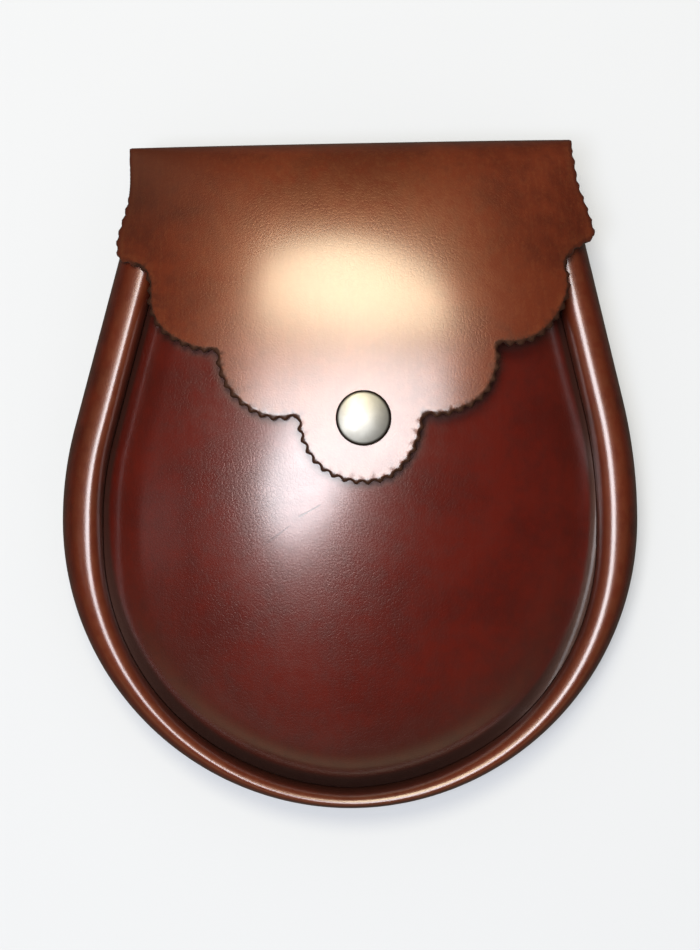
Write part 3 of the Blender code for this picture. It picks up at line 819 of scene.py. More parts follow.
@dataclass
class Palette:
    """Every finish of the pouch, made once."""

    materials: dict[str, bpy.types.Material] = field(default_factory=dict)

    def make(self) -> None:
        """Builds the materials."""
        group = LeatherLook().make()
        mark_group = make_mark_group()
        worn = rgb(0.32, 0.13, 0.045)
        wrinkle = {"width": 1.3 * MM, "depth": 0.022 * MM, "dark": 0.0}
        wrinkles = (
            Mark((17.6 * MM, 68.0 * MM, 39.0 * MM), (15.2 * MM, 53.0 * MM, 41.0 * MM), **wrinkle),
            Mark((15.6 * MM, 56.0 * MM, 41.0 * MM), (14.4 * MM, 40.0 * MM, 42.0 * MM), **wrinkle),
        )
        scratches = (
            Mark((-15.4 * MM, -12.6 * MM, 37.0 * MM), (-8.2 * MM, -8.6 * MM, 38.0 * MM),
                 width=0.30 * MM, depth=0.05 * MM, dark=0.75),
            Mark((-25.0 * MM, -20.5 * MM, 35.0 * MM), (-17.0 * MM, -14.5 * MM, 37.0 * MM),
                 width=0.28 * MM, depth=0.04 * MM, dark=0.35),
        )
        leathers = (
            LeatherFinish("flap_leather", rgb(0.084, 0.0142, 0.0050), rgb(0.050, 0.0072, 0.0029), worn,
                          coat_roughness=0.22, marks=wrinkles),
            LeatherFinish("front_leather", rgb(0.064, 0.0044, 0.0021), rgb(0.030, 0.0019, 0.0012),
                          rgb(0.14, 0.020, 0.009), sheen=rgb(1.0, 0.70, 0.62), shine=0.42, mottle=0.6,
                          roughness=0.31, coat=0.75, grain_depth=0.027 * MM, marks=scratches),
            LeatherFinish("rim_leather", rgb(0.056, 0.0068, 0.0024), rgb(0.028, 0.0034, 0.0016),
                          rgb(0.20, 0.055, 0.020), sheen=rgb(1.0, 0.50, 0.38), shine=0.30, roughness=0.40,
                          coat_roughness=0.24, creased=True),
            LeatherFinish("strap_leather", rgb(0.056, 0.009, 0.003), rgb(0.028, 0.005, 0.002), worn,
                          roughness=0.45, coat=0.2),
        )
        for finish in leathers:
            self.materials[finish.name] = finish.make(group, mark_group)
        others = (
            FleshFinish("cut_edge", rgb(0.055, 0.018, 0.010), rgb(0.016, 0.006, 0.005), roughness=0.6,
                        nap_scale=1500.0, nap_depth=0.05 * MM),
            FleshFinish("flesh_side", rgb(0.26, 0.14, 0.075), rgb(0.15, 0.075, 0.040)),
            MetalFinish("stud_nickel", rgb(0.215, 0.206, 0.188), rgb(0.195, 0.187, 0.17), 0.42, tarnished_and_shaded=True),
            MetalFinish("post_steel", rgb(0.55, 0.55, 0.56), rgb(0.40, 0.40, 0.41), 0.40),
            ThreadFinish("waxed_thread", rgb(0.030, 0.012, 0.008), rgb(0.012, 0.006, 0.005), 0.75),
        )
        for finish in others:
            self.materials[finish.name] = finish.make()

    def hide(self, grain: str) -> list[bpy.types.Material]:
        """Lists the materials of a piece of leather, in the order of its skins."""
        return [self.materials[grain], self.materials["cut_edge"], self.materials["flesh_side"]]


# Meshes


def make_object(name: str, mesh: bpy.types.Mesh, materials: list[bpy.types.Material]) -> bpy.types.Object:
    """Lays a mesh of the pouch's frame down in the room, and adds it to the scene."""
    mesh.transform(LIE.matrix())
    for material in materials:
        mesh.materials.append(material)
    made = bpy.data.objects.new(name, mesh)
    bpy.context.scene.collection.objects.link(made)
    return made


def set_attribute(mesh: bpy.types.Mesh, name: str, values: np.ndarray) -> None:
    """Writes a number or a vector for each point of a mesh."""
    kind = "FLOAT_VECTOR" if values.ndim == 2 else "FLOAT"
    made = mesh.attributes.new(name, kind, "POINT")
    made.data.foreach_set("vector" if values.ndim == 2 else "value", values.astype(np.float32).ravel())


def smooth(mesh: bpy.types.Mesh, angle: float) -> None:
    """Shades a mesh smooth, apart from edges sharper than an angle in degrees."""
    mesh.shade_smooth()
    mesh.set_sharp_from_angle(angle=math.radians(angle))


def turn_outwards(mesh: bpy.types.Mesh) -> None:
    """Turns every face of a closed mesh outwards."""
    shape = bmesh.new()
    shape.from_mesh(mesh)
    bmesh.ops.recalc_face_normals(shape, faces=shape.faces)
    shape.to_mesh(mesh)
    shape.free()


def report(piece: bpy.types.Object, body: str, slot: str, *nodes: str) -> None:
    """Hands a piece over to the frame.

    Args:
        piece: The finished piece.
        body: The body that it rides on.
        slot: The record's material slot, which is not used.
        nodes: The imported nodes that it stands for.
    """
    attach(piece, body)
    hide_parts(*nodes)
    faces = sum(len(polygon.vertices) - 2 for polygon in piece.data.polygons)
    log.info("%s: %d triangles", piece.name, faces)


@dataclass
class Sheet:
    """A sheet of leather: a flat plan that is triangulated, bent and given its thickness.

    `bend` takes plan points and returns their places on the grain side and the grain's normals.
    """

    bend: Callable[[np.ndarray], tuple[np.ndarray, np.ndarray]]
    loops: list[np.ndarray]
    grid: float
    round_over: float = 0.85 * MM
    edge_rows: tuple[float, ...] = (0.15, 0.45, 0.8, 1.2, 1.7)
    wall_rows: tuple[float, ...] = (0.45, 0.75)

    def plan(self, grid: np.ndarray) -> tuple[np.ndarray, np.ndarray]:
        """Triangulates the plan.

        Args:
            grid: Points inside the sheet.

        Returns:
            The plan's points and its triangles.
        """
        outline = self.loops[0]
        edge = np.concatenate(self.loops)
        rows = []
        for loop in self.loops:
            turn = np.roll(loop, -1, axis=0) - np.roll(loop, 1, axis=0)
            turn /= np.linalg.norm(turn, axis=1)[:, None]
            across = np.column_stack((-turn[:, 1], turn[:, 0]))
            for depth in self.edge_rows:
                for way in (1.0, -1.0):
                    row = loop + across * way * depth * MM
                    rows.append(row[nearest(row, edge) > 0.86 * depth * MM][::1 if depth < 1.0 else 2])
        near = np.concatenate(rows)
        grid = grid[nearest(grid, edge) > self.edge_rows[-1] * MM + 0.4 * self.grid]
        points = np.concatenate((near, grid))
        points = points[inside(points, outline)]
        for hole in self.loops[1:]:
            points = points[~inside(points, hole)]
        edges = []
        start = 0
        for loop in self.loops:
            numbers = np.arange(start, start + len(loop))
            edges += list(zip(numbers.tolist(), np.roll(numbers, -1).tolist()))
            start += len(loop)
        everything = np.concatenate((edge, points))
        result = delaunay_2d_cdt([Vector(point) for point in everything], edges, [], 1, 1e-9)
        places = np.array([corner[:] for corner in result[0]])
        faces = np.array([face[:] for face in result[2]])
        middles = places[faces].mean(axis=1)
        for hole in self.loops[1:]:
            faces = faces[~inside(middles, hole)]
            middles = places[faces].mean(axis=1)
        return places, faces

    def build(self, name: str, grid: np.ndarray) -> tuple[bpy.types.Mesh, np.ndarray, np.ndarray]:
        """Builds the closed sheet with rounded edges.

        Args:
            name: The mesh's name.
            grid: Points inside the sheet.

        Returns:
            The mesh, each point's plan point, and each point's distance to the cut edge.
        """
        places, faces = self.plan(grid)
        faces = faces[:, ::-1]
        edge = np.concatenate([resample(np.vstack((loop, loop[:1])), 3 * len(loop)) for loop in self.loops])
        from_edge = nearest(places, edge)
        grain, normal = self.bend(places)
        share = np.clip(1.0 - from_edge / self.round_over, 0.0, 1.0)
        sink = 0.8 * self.round_over * (1.0 - np.sqrt(1.0 - share ** 2))
        top = grain - normal * sink[:, None]
        under = grain - normal * (LEATHER - 0.5 * sink)[:, None]
        count = len(places)
        forward = {(int(a), int(b)) for face in faces for a, b in zip(face, np.roll(face, -1))}
        border = [(a, b) for a, b in forward if (b, a) not in forward]
        starts = sorted({a for a, _ in border})
        number = {a: i for i, a in enumerate(starts)}
        levels = [top[starts] + (under[starts] - top[starts]) * row for row in self.wall_rows]
        points = np.concatenate((top, under, *levels))
        rings = [lambda a: a]
        for i in range(len(levels)):
            rings.append(lambda a, i=i: 2 * count + i * len(starts) + number[a])
        rings.append(lambda a: count + a)
        walls = []
        for a, b in sorted(border):
            for near, far in zip(rings, rings[1:]):
                walls.append((near(b), near(a), far(a), far(b)))
        polygons = faces.tolist() + (faces[:, ::-1] + count).tolist() + walls
        mesh = bpy.data.meshes.new(name)
        mesh.from_pydata(points.tolist(), [], polygons)
        skins = [Skin.GRAIN] * len(faces) + [Skin.FLESH] * len(faces) + [Skin.CUT] * len(walls)
        mesh.polygons.foreach_set("material_index", skins)
        plan_points = np.concatenate((places, places, *[places[starts]] * len(levels)))
        distances = np.concatenate((from_edge, from_edge, *[np.zeros(len(starts))] * len(levels)))
        smooth(mesh, 60.0)
        return mesh, plan_points, distances


# Stitches


class Seam(NamedTuple):
    """A line of stitches: its points, the way up from the leather at each, and how it is closed."""

    points: np.ndarray
    up: np.ndarray
    way: Way = Way.OPEN


@dataclass
class Stitching:
    """Stitches along seams, laid out by Geometry Nodes."""

    name: str
    slot: str
    pitch: float = 3.4 * MM
    length: float = 2.7 * MM
    thread: float = 0.32 * MM
    rise: float = 0.22 * MM
    dip: float = 0.45 * MM

    def tree(self, material: bpy.types.Material) -> bpy.types.NodeTree:
        """Builds the nodes that lay a stitch at every pitch along the seams."""
        inputs = {"Geometry": ("Seams",), "Float": ("Pitch", "Length", "Thread", "Rise", "Dip")}
        nodes = start_group(self.name, inputs, {"Geometry": ("Stitches",)}, "GeometryNodeTree")
        given = nodes.add("NodeGroupInput").outputs
        line = nodes.add("GeometryNodeMeshToCurve", {"Mesh": given["Seams"]}).outputs["Curve"]
        spaced = nodes.add("GeometryNodeResampleCurve", {"Curve": line, "Length": given["Pitch"]},
                           mode="LENGTH")
        half = nodes.math("MULTIPLY", given["Length"], 0.5)
        ends = []
        for sign in (-1.0, 1.0):
            x = nodes.math("MULTIPLY", half, sign)
            z = nodes.math("MULTIPLY", given["Dip"], -1.0)
            ends.append(nodes.add("ShaderNodeCombineXYZ", {"X": x, "Z": z}).outputs[0])
        lift = nodes.math("ADD", nodes.math("MULTIPLY", given["Rise"], 2.0), given["Dip"])
        top = nodes.add("ShaderNodeCombineXYZ", {"Z": lift}).outputs[0]
        arch = nodes.add("GeometryNodeCurveQuadraticBezier", {
            "Resolution": 7, "Start": ends[0], "Middle": top, "End": ends[1]}).outputs["Curve"]
        ring = nodes.add("GeometryNodeCurvePrimitiveCircle", {"Resolution": 7, "Radius": given["Thread"]})
        stitch = nodes.add("GeometryNodeCurveToMesh", {"Curve": arch, "Profile Curve": ring.outputs["Curve"],
                                                       "Fill Caps": True}).outputs["Mesh"]
        up = nodes.add("GeometryNodeInputNamedAttribute", {"Name": "up"}, data_type="FLOAT_VECTOR")
        tangent = nodes.add("GeometryNodeInputTangent")
        turn = nodes.add("FunctionNodeAxesToRotation", {"Primary Axis": tangent.outputs[0],
                                                        "Secondary Axis": up.outputs["Attribute"]},
                         primary_axis="X", secondary_axis="Z")
        placed = nodes.add("GeometryNodeInstanceOnPoints", {
            "Points": spaced.outputs["Curve"], "Instance": stitch, "Rotation": turn.outputs["Rotation"]})
        real = nodes.add("GeometryNodeRealizeInstances", {"Geometry": placed.outputs["Instances"]})
        soft = nodes.add("GeometryNodeSetShadeSmooth", {"Geometry": real.outputs["Geometry"]})
        dressed = nodes.add("GeometryNodeSetMaterial", {
            "Geometry": soft.outputs["Geometry"], "Material": material})
        nodes.add("NodeGroupOutput", {"Stitches": dressed.outputs["Geometry"]})
        return nodes.tree

    def sew(self, seams: list[Seam], material: bpy.types.Material) -> bpy.types.Object:
        """Makes one piece of all the stitches along the seams.

        Args:
            seams: The lines to sew along, in the pouch's frame.
            material: The thread's finish.

        Returns:
            The stitches, as a plain mesh.
        """
        points, ups, edges = [], [], []
        for seam in seams:
            start = len(points)
            count = len(seam.points)
            points += seam.points.tolist()
            ups += seam.up.tolist()
            edges += [(start + i, start + i + 1) for i in range(count - 1)]
            if seam.way is Way.CLOSED:
                edges.append((start + count - 1, start))
        lines = bpy.data.meshes.new(self.name + "_lines")
        lines.from_pydata(points, edges, [])
        set_attribute(lines, "up", np.array(ups))
        sizes = {"Pitch": self.pitch, "Length": self.length, "Thread": self.thread, "Rise": self.rise,
                 "Dip": self.dip}
        mesh = grow(lines, self.tree(material), sizes)
        return make_object(self.name, mesh, [material])


def grow(lines: bpy.types.Mesh, tree: bpy.types.NodeTree, sizes: dict[str, float]) -> bpy.types.Mesh:
    """Runs Geometry Nodes on a guide, and returns the result as a plain mesh.

    Args:
        lines: The guide's mesh, which the nodes start from.
        tree: The nodes.
        sizes: The values of their named inputs.

    Returns:
        The mesh, without materials.
    """
    guide = bpy.data.objects.new(tree.name + "_guide", lines)
    bpy.context.scene.collection.objects.link(guide)
    modifier = guide.modifiers.new(tree.name, "NODES")
    modifier.node_group = tree
    for item in tree.interface.items_tree:
        if item.in_out == "INPUT" and item.name in sizes:
            modifier[item.identifier] = sizes[item.name]
    graph = bpy.context.evaluated_depsgraph_get()
    mesh = bpy.data.meshes.new_from_object(guide.evaluated_get(graph))
    guide.modifiers.remove(modifier)
    bpy.data.objects.remove(guide, do_unlink=True)
    mesh.materials.clear()
    return mesh


# Rolled rim


class CrestPlace(NamedTuple):
    """The rim's crest by the turn round the bottom in degrees: its share of the width, and how full it is."""

    turn: float
    share: float
    power: float


@dataclass
class Gusset:
    """The strip of leather that is rolled round both sides and the bottom."""

    seam_z: float = 17.5 * MM
    side_z: float = 12.0 * MM
    crest_places: tuple[CrestPlace, ...] = (
        CrestPlace(-90.0, 0.70, 2.1),
        CrestPlace(-35.0, 0.55, 2.0),
        CrestPlace(0.0, 0.32, 2.0),
        CrestPlace(35.0, 0.41, 2.0),
        CrestPlace(90.0, 0.59, 2.1),
    )
    crest_rise: float = 0.42
    crest_lift: float = 0.35
    worn_width: float = 2.2 * MM
    worn_share: float = 0.22
    dark_width: float = 2.6 * MM
    low_turn: float = 75.0
    back_roll: float = 5.0 * MM
    back_flange: float = 11.0 * MM
    seam_flange: float = 4.5 * MM
    roll_steps: int = 14
    step: float = 1.3 * MM

    def crest_at(self, turn: float) -> tuple[float, float]:
        """Returns the crest's share of the rim's width and its power, smoothed along the outline."""
        turns, shares, powers = zip(*self.crest_places)
        around = turn + np.linspace(-15.0, 15.0, 9)
        return float(np.interp(around, turns, shares).mean()), float(np.interp(around, turns, powers).mean())

    def face(self, rim: float, turn_round: float, inward: float) -> list[tuple[float, float]]:
        """Lists one face of the strip as (inset, height).

        Args:
            rim: The rim's width.
            turn_round: The turn round the bottom, in degrees.
            inward: How far the face lies inside the grain side.
        """
        share, power = self.crest_at(turn_round)
        low = LEATHER + GAP + inward
        crest = share * rim
        crest_z = self.seam_z + self.crest_rise * rim - inward
        deeper = float(OUTLINE.groove(turn_round))
        crest_z += self.crest_lift * deeper
        seam_top = self.seam_z - deeper
        seam_z = seam_top - 0.5 * inward
        turn = math.pi
        points = [(self.back_flange + (self.back_roll - self.back_flange) * i / 5, low) for i in range(5)]
        points += quarter((self.back_roll, self.side_z), (self.back_roll - inward, self.side_z - low),
                          1.5 * turn, turn, self.roll_steps)
        points += quarter((crest, self.side_z), (crest - inward, crest_z - self.side_z),
                          turn, 0.5 * turn, self.roll_steps + 6, power)
        points += quarter((crest, seam_z), (rim - crest - inward, crest_z - seam_z),
                          0.5 * turn, 0.0, self.roll_steps + 2, power)
        points += [(rim - inward, seam_z), (rim - inward, seam_top - self.seam_flange)]
        return points

    def build(self, palette: Palette) -> bpy.types.Object:
        """Builds the rolled strip."""
        stations = OUTLINE.stations(self.step)
        rings = []
        for i in range(len(stations.rim)):
            one = Stations(*(column[i:i + 1] for column in stations))
            grain = self.face(one.rim[0], float(one.turn[0]), 0.0)
            section = grain + list(reversed(self.face(one.rim[0], float(one.turn[0]), LEATHER)))
            rings.append([(*OUTLINE.inset(one, inset)[0], z) for inset, z in section])
        points = np.array(rings)
        count = points.shape[1]
        half = count // 2
        numbers = np.arange(points.shape[0] * count).reshape(points.shape[:2])
        polygons = []
        skins = []
        for i in range(count):
            j = (i + 1) % count
            polygons += zip(numbers[:-1, i].tolist(), numbers[:-1, j].tolist(), numbers[1:, j].tolist(),
                            numbers[1:, i].tolist())
            skin = Skin.GRAIN if i < half - 1 else Skin.FLESH
            skins += [Skin.CUT if i in (half - 1, count - 1) else skin] * (points.shape[0] - 1)
        for ring in (numbers[0], numbers[-1]):
            for i in range(half - 1):
                polygons.append([int(ring[k]) for k in (i, i + 1, count - 2 - i, count - 1 - i)])
                skins.append(Skin.CUT)
        mesh = bpy.data.meshes.new("gusset")
        mesh.from_pydata(points.reshape(-1, 3).tolist(), [], polygons)
        mesh.polygons.foreach_set("material_index", skins)
        turn_outwards(mesh)
        self.weather(mesh, points, stations)
        smooth(mesh, 60.0)
        piece = make_object("rim", mesh, palette.hide("rim_leather"))
        report(piece, BODY, "rim_leather", "gusset")
        return piece

    def weather(self, mesh: bpy.types.Mesh, points: np.ndarray, stations: Stations) -> None:
        """Writes each point's place on the strip, the worn crest, and the painted shade in the groove and low
        down near the floor.

        Args:
            mesh: The strip.
            points: Its points, by station and then across.
            stations: The places along the outline.
        """
        across = np.linalg.norm(np.diff(points, axis=1), axis=2)
        across = np.concatenate((np.zeros((len(points), 1)), np.cumsum(across, axis=1)), axis=1)
        along = np.repeat(stations.along[:, None], points.shape[1], axis=1)
        strip = np.stack((along, across, np.zeros_like(along)), axis=2)
        set_attribute(mesh, STRIP, strip.reshape(-1, 3))
        rim = stations.rim[:, None]
        lift = self.crest_lift * OUTLINE.groove(stations.turn)[:, None]
        height = points[:, :, 2]
        crest_z = self.seam_z + self.crest_rise * rim + lift
        wear = smooth_step((height - crest_z + self.worn_width) / self.worn_width) * self.worn_share
        inner = np.linalg.norm(points[:, :, :2] - stations.at[:, None, :], axis=2)
        low = smooth_step(1.0 - np.abs(stations.turn) / self.low_turn)[:, None]
        # Painted shade: darkens the strip near its inner edge, in the groove, most at the bottom.
        groove = smooth_step((inner - rim + self.dark_width) / self.dark_width) * (0.30 + 0.50 * low)
        # Painted shade: darkens the strip low down, towards the floor.
        bottom = smooth_step((14.0 * MM - height) / (10.0 * MM)) * 0.55
        set_attribute(mesh, WEAR, wear.ravel())
        set_attribute(mesh, SHADE, np.maximum(groove, bottom).ravel())


# Domed front


@dataclass
class FrontPanel:
    """The moulded front, with its edge turned in along the seam."""

    seam_z: float = 17.5 * MM
    top_z: float = 39.5 * MM
    centre_x: float = -4.0 * MM
    centre_y: float = 10.0 * MM
    radius_across: float = 140.0 * MM
    radius_up: float = 400.0 * MM
    radius_down: float = 300.0 * MM
    seam_gap: float = 0.12 * MM
    shoulder: float = 13.0 * MM
    shoulder_power: float = 2.6
    flange: float = 4.5 * MM
    ring_count: int = 16
    ring_power: float = 1.6
    mouth_width: float = 120.0 * MM
    shade_reach: float = 30.0 * MM
    # Reach and strength of the shadow painted on the panel along the flap's edge.
    flap_shadow_reach: float = 2.6 * MM
    flap_shadow: float = 0.65
    step: float = 1.5 * MM
    grid: float = 1.35 * MM

    def crown(self, points: np.ndarray) -> np.ndarray:
        """Returns the height of the broad crown, before its shoulder turns down."""
        x, y = points.T
        rise = y - self.centre_y
        radius = np.where(rise > 0.0, self.radius_up, self.radius_down)
        across = x - self.centre_x
        return self.top_z - across ** 2 / (2.0 * self.radius_across) - rise ** 2 / (2.0 * radius)

    def height(self, points: np.ndarray, share: float, seam_z: np.ndarray) -> np.ndarray:
        """Returns the panel's height, by the share of the shoulder's width that a point has passed."""
        return seam_z + (self.crown(points) - seam_z) * (1.0 - (1.0 - share) ** self.shoulder_power)

    def build(self, palette: Palette, snap: "PressStud", hide: "BackAndFlap") -> bpy.types.Object:
        """Builds the front panel."""
        stations = OUTLINE.stations(self.step)
        rim = stations.rim + self.seam_gap
        seam_z = self.seam_z - OUTLINE.groove(stations.turn)
        shares = (np.arange(self.ring_count + 1) / self.ring_count) ** self.ring_power
        plan, places = [], []
        turned = OUTLINE.inset(stations, rim)
        for depth in (self.flange, 0.6 * self.flange, 0.25 * self.flange):
            plan.append(OUTLINE.inset(stations, rim - depth))
            places.append(np.column_stack((turned, seam_z - depth)))
        for share in shares:
            ring = OUTLINE.inset(stations, rim + share * self.shoulder)
            plan.append(ring)
            places.append(np.column_stack((ring, self.height(ring, share, seam_z))))
        ends = [ring[-1] for ring in plan[1:]]
        starts = [ring[0] for ring in plan[1:]]
        mouth = np.linspace(plan[-1][-1], plan[-1][0], round(self.mouth_width / self.grid))[1:-1]
        outline = np.concatenate((plan[0], ends, mouth, starts[::-1]))
        hole = circle_points((snap.x, snap.y), snap.post_radius + GAP, 24)
        low = (-OUTLINE.radius, OUTLINE.centre_y - OUTLINE.radius)
        grid = grid_points(low, (OUTLINE.radius, OUTLINE.mouth_y - 0.5 * self.grid), self.grid)
        grid = grid[OUTLINE.depth_inside(stations, grid) > self.shoulder + 0.5 * self.grid]
        hole_gap = np.linalg.norm(grid - np.array((snap.x, snap.y)), axis=1) - snap.post_radius - GAP
        grid = grid[hole_gap > 0.5 * self.grid]
        known = np.concatenate((*plan, mouth, hole, grid))
        crowned = [np.column_stack((part, self.crown(part))) for part in (mouth, hole, grid)]
        bent = np.concatenate((*places, *crowned))
        index = {tuple(np.round(point, 8)): i for i, point in enumerate(known)}
        edges = []
        for loop in (outline, hole):
            numbers = [index[tuple(np.round(point, 8))] for point in loop]
            edges += list(zip(numbers, numbers[1:] + numbers[:1]))
        result = delaunay_2d_cdt([Vector(point) for point in known], edges, [], 1, 1e-9)
        origin = [rows[0] for rows in result[3]]
        corners = np.array([corner[:] for corner in result[0]])
        faces = np.array([face[:] for face in result[2]])
        faces = faces[~inside(corners[faces].mean(axis=1), hole)]
        grain = bent[origin]
        return self.thicken(grain, faces, stations, hide.shown_edge(), palette)

    def thicken(self, grain: np.ndarray, faces: np.ndarray, stations: Stations, flap: np.ndarray,
                palette: Palette) -> bpy.types.Object:
        """Gives the panel its thickness and its finish.

        Args:
            grain: The points of its grain side.
            faces: Its triangles.
            stations: The places along its outline.
            flap: The flap's edge from the front, below which a shadow is painted on the panel.
            palette: The finishes.
        """
        mesh = bpy.data.meshes.new("front")
        mesh.from_pydata(grain.tolist(), [], faces.tolist())
        depth = np.maximum(OUTLINE.depth_inside(stations, grain[:, :2]), 0.0)
        low = smooth_step((-grain[:, 1] - 5.0 * MM) / (70.0 * MM))
        groove = (1.3 + 1.7 * low) * MM
        # Painted shade in the groove along the seam, widest and darkest at the bottom.
        seam = smooth_step(1.9 - depth / groove) * (0.85 + 0.12 * low)
        # Darker towards the rim, most at the bottom.
        round_about = smooth_step(1.0 - depth / self.shade_reach) * (0.12 + 0.42 * low)
        # Painted shadow: darkens a band of the panel along the flap's edge, where the flap casts its shadow.
        flap_shadow = smooth_step(1.0 - nearest(grain[:, :2], flap) / self.flap_shadow_reach) * self.flap_shadow
        set_attribute(mesh, SHADE, np.maximum.reduce((seam, round_about, flap_shadow)))
        set_attribute(mesh, WEAR, np.zeros(len(grain)))
        made = make_object("front", mesh, palette.hide("front_leather"))
        thick = made.modifiers.new("thickness", "SOLIDIFY")
        thick.thickness = LEATHER
        thick.offset = -1.0
        thick.use_even_offset = True
        thick.use_quality_normals = True
        thick.material_offset = Skin.FLESH
        thick.material_offset_rim = Skin.CUT
        graph = bpy.context.evaluated_depsgraph_get()
        solid = bpy.data.meshes.new_from_object(made.evaluated_get(graph))
        made.modifiers.remove(thick)
        made.data = solid
        smooth(solid, 105.0)
        report(made, BODY, "front_leather", "front_panel")
        return made


# Back, fold and flap, cut from one piece


class Scallop(NamedTuple):
    """One scallop of the flap: whether it is pinked, and its points in millimetres."""

    pinked: bool
    points: tuple[tuple[float, float], ...]


@dataclass
class BackAndFlap:
    """The back, the fold over the top and the scalloped flap."""

    fold_y: float = 81.9 * MM
    fold_radius: float = 17.8 * MM
    fold_left_x: float = -66.4 * MM
    fold_right_x: float = 66.7 * MM
    skew: float = math.tan(math.radians(1.1))
    skew_run: float = 38.0 * MM
    crest_y: float = 14.0 * MM
    crest_z: float = 42.4 * MM
    crown_power: float = 2.5
    crown_radius: float = 325.0 * MM
    radius_high: float = 250.0 * MM
    radius_low: float = 650.0 * MM
    flat_y: float = 88.0 * MM
    flat_run: float = 52.0 * MM
    flat_half: float = 20.0 * MM
    side_bend: float = 43.0 * MM
    tilt_high: float = 0.03
    tilt_low: float = 0.05
    back_inset: float = 3.5 * MM
    back_spread_y: float = 40.0 * MM
    tooth_pitch: float = 3.6 * MM
    tooth_depth: float = 1.0 * MM
    tooth_points: int = 8
    side_x: float = 63.5 * MM
    front_turn: float = math.radians(168.0)
    dyed_edge: float = 1.45 * MM
    dye_fade: float = 0.5 * MM
    # Strengths of the painted shade over the fold and in the top-left corner.
    top_shade: float = 0.22
    corner_shade: float = 0.58
    # Strength of the lighter line inside the edge: rubbed wear and a painted highlight along the bevel.
    rubbed_edge_and_glint: float = 0.05
    # Strength and reach of the golden patch in the flap's middle: handling wear and painted sheen round the
    # highlight.
    handling_and_sheen: float = 0.16
    handling_and_sheen_reach: float = 62.0 * MM
    grid: float = 1.9 * MM
    back_grid: float = 5.0 * MM
    scallops: tuple[Scallop, ...] = (
        Scallop(False, ((-66.4, 96.0), (-66.2, 88.0), (-66.6, 83.0))),
        Scallop(True, ((-66.6, 83.0), (-68.1, 77.8), (-69.9, 72.3), (-70.4, 68.8), (-69.6, 64.9), (-66.2, 63.2),
                       (-61.9, 61.3))),
        Scallop(True, ((-61.9, 61.3), (-60.0, 57.4), (-59.5, 49.4), (-56.6, 43.4), (-51.5, 39.4), (-44.8, 36.6),
                       (-39.2, 36.2))),
        Scallop(True, ((-39.2, 36.2), (-38.2, 30.1), (-35.0, 23.9), (-28.5, 18.3), (-21.8, 16.2),
                       (-15.4, 16.8))),
        Scallop(True, ((-15.4, 16.8), (-14.2, 10.7), (-10.7, 4.1), (-4.9, -0.4), (3.2, -2.4), (11.6, -0.7),
                       (17.4, 4.9), (20.3, 11.3), (21.7, 17.4))),
        Scallop(True, ((21.7, 17.4), (27.6, 17.4), (35.0, 20.0), (40.3, 24.5), (43.3, 32.0), (43.1, 38.1))),
        Scallop(True, ((43.1, 38.1), (49.4, 38.2), (56.0, 40.9), (61.4, 46.6), (64.4, 52.7), (65.0, 57.8),
                       (64.0, 62.8))),
        Scallop(True, ((64.0, 62.8), (66.7, 66.7), (69.5, 68.6), (73.0, 71.0), (73.4, 73.8), (71.1, 80.6),
                       (68.6, 87.0), (67.4, 93.5), (66.7, 97.6))),
    )

    def __post_init__(self) -> None:
        """Measures the flap's centre line once, from the top of the fold over the crest."""
        top_y = self.fold_y + self.fold_radius
        angle = 0.5 * math.pi * smooth_step(np.linspace(0.0, 1.0, 3000))
        power = 2.0 / self.crown_power
        over_y = self.crest_y + (top_y - self.crest_y) * np.cos(angle).clip(0.0) ** power
        over_z = self.fold_radius + (self.crest_z - self.fold_radius) * np.sin(angle) ** power
        beyond = np.linspace(0.0, 40.0 * MM, 400)[1:]
        ys = np.concatenate((over_y, self.crest_y - beyond))
        zs = np.concatenate((over_z, self.crest_z - beyond ** 2 / (2.0 * self.crown_radius)))
        steps = np.hypot(np.diff(ys), np.diff(zs))
        self.flap_ways = 0.5 * math.pi * self.fold_radius + np.concatenate(([0.0], np.cumsum(steps)))
        self.flap_ys, self.flap_zs = ys, zs

    def top_way(self) -> float:
        """Returns the way to the top of the fold."""
        return 0.5 * math.pi * self.fold_radius

    def flap_way(self) -> float:
        """Returns the way at which the flap has turned to the front."""
        return self.front_turn * self.fold_radius

    def centre_line(self, way: np.ndarray) -> np.ndarray:
        """Returns Y, Z and the grain's normal (Y, Z) on the centre line, at ways past the fold's start."""
        pressed = np.maximum(0.0, (LIE.rest_y - self.fold_y - way) * math.tan(LIE.lean))
        back = np.stack((self.fold_y + way, pressed, np.zeros_like(way), -np.ones_like(way)))
        angle = way / self.fold_radius
        ny, nz = np.sin(angle), -np.cos(angle)
        fold = np.stack((self.fold_y + self.fold_radius * ny, self.fold_radius * (1.0 + nz), ny, nz))
        small = 0.2 * MM
        (y0, y1), (z0, z1) = ([np.interp(way + shift, self.flap_ways, line) for shift in (-small, small)]
                              for line in (self.flap_ys, self.flap_zs))
        length = np.hypot(y1 - y0, z1 - z0).clip(1e-9)
        y, z = (np.interp(way, self.flap_ways, line) for line in (self.flap_ys, self.flap_zs))
        flap = np.stack((y, z, (z1 - z0) / length, (y0 - y1) / length))
        return np.where(way <= 0.0, back, np.where(way <= self.top_way(), fold, flap))

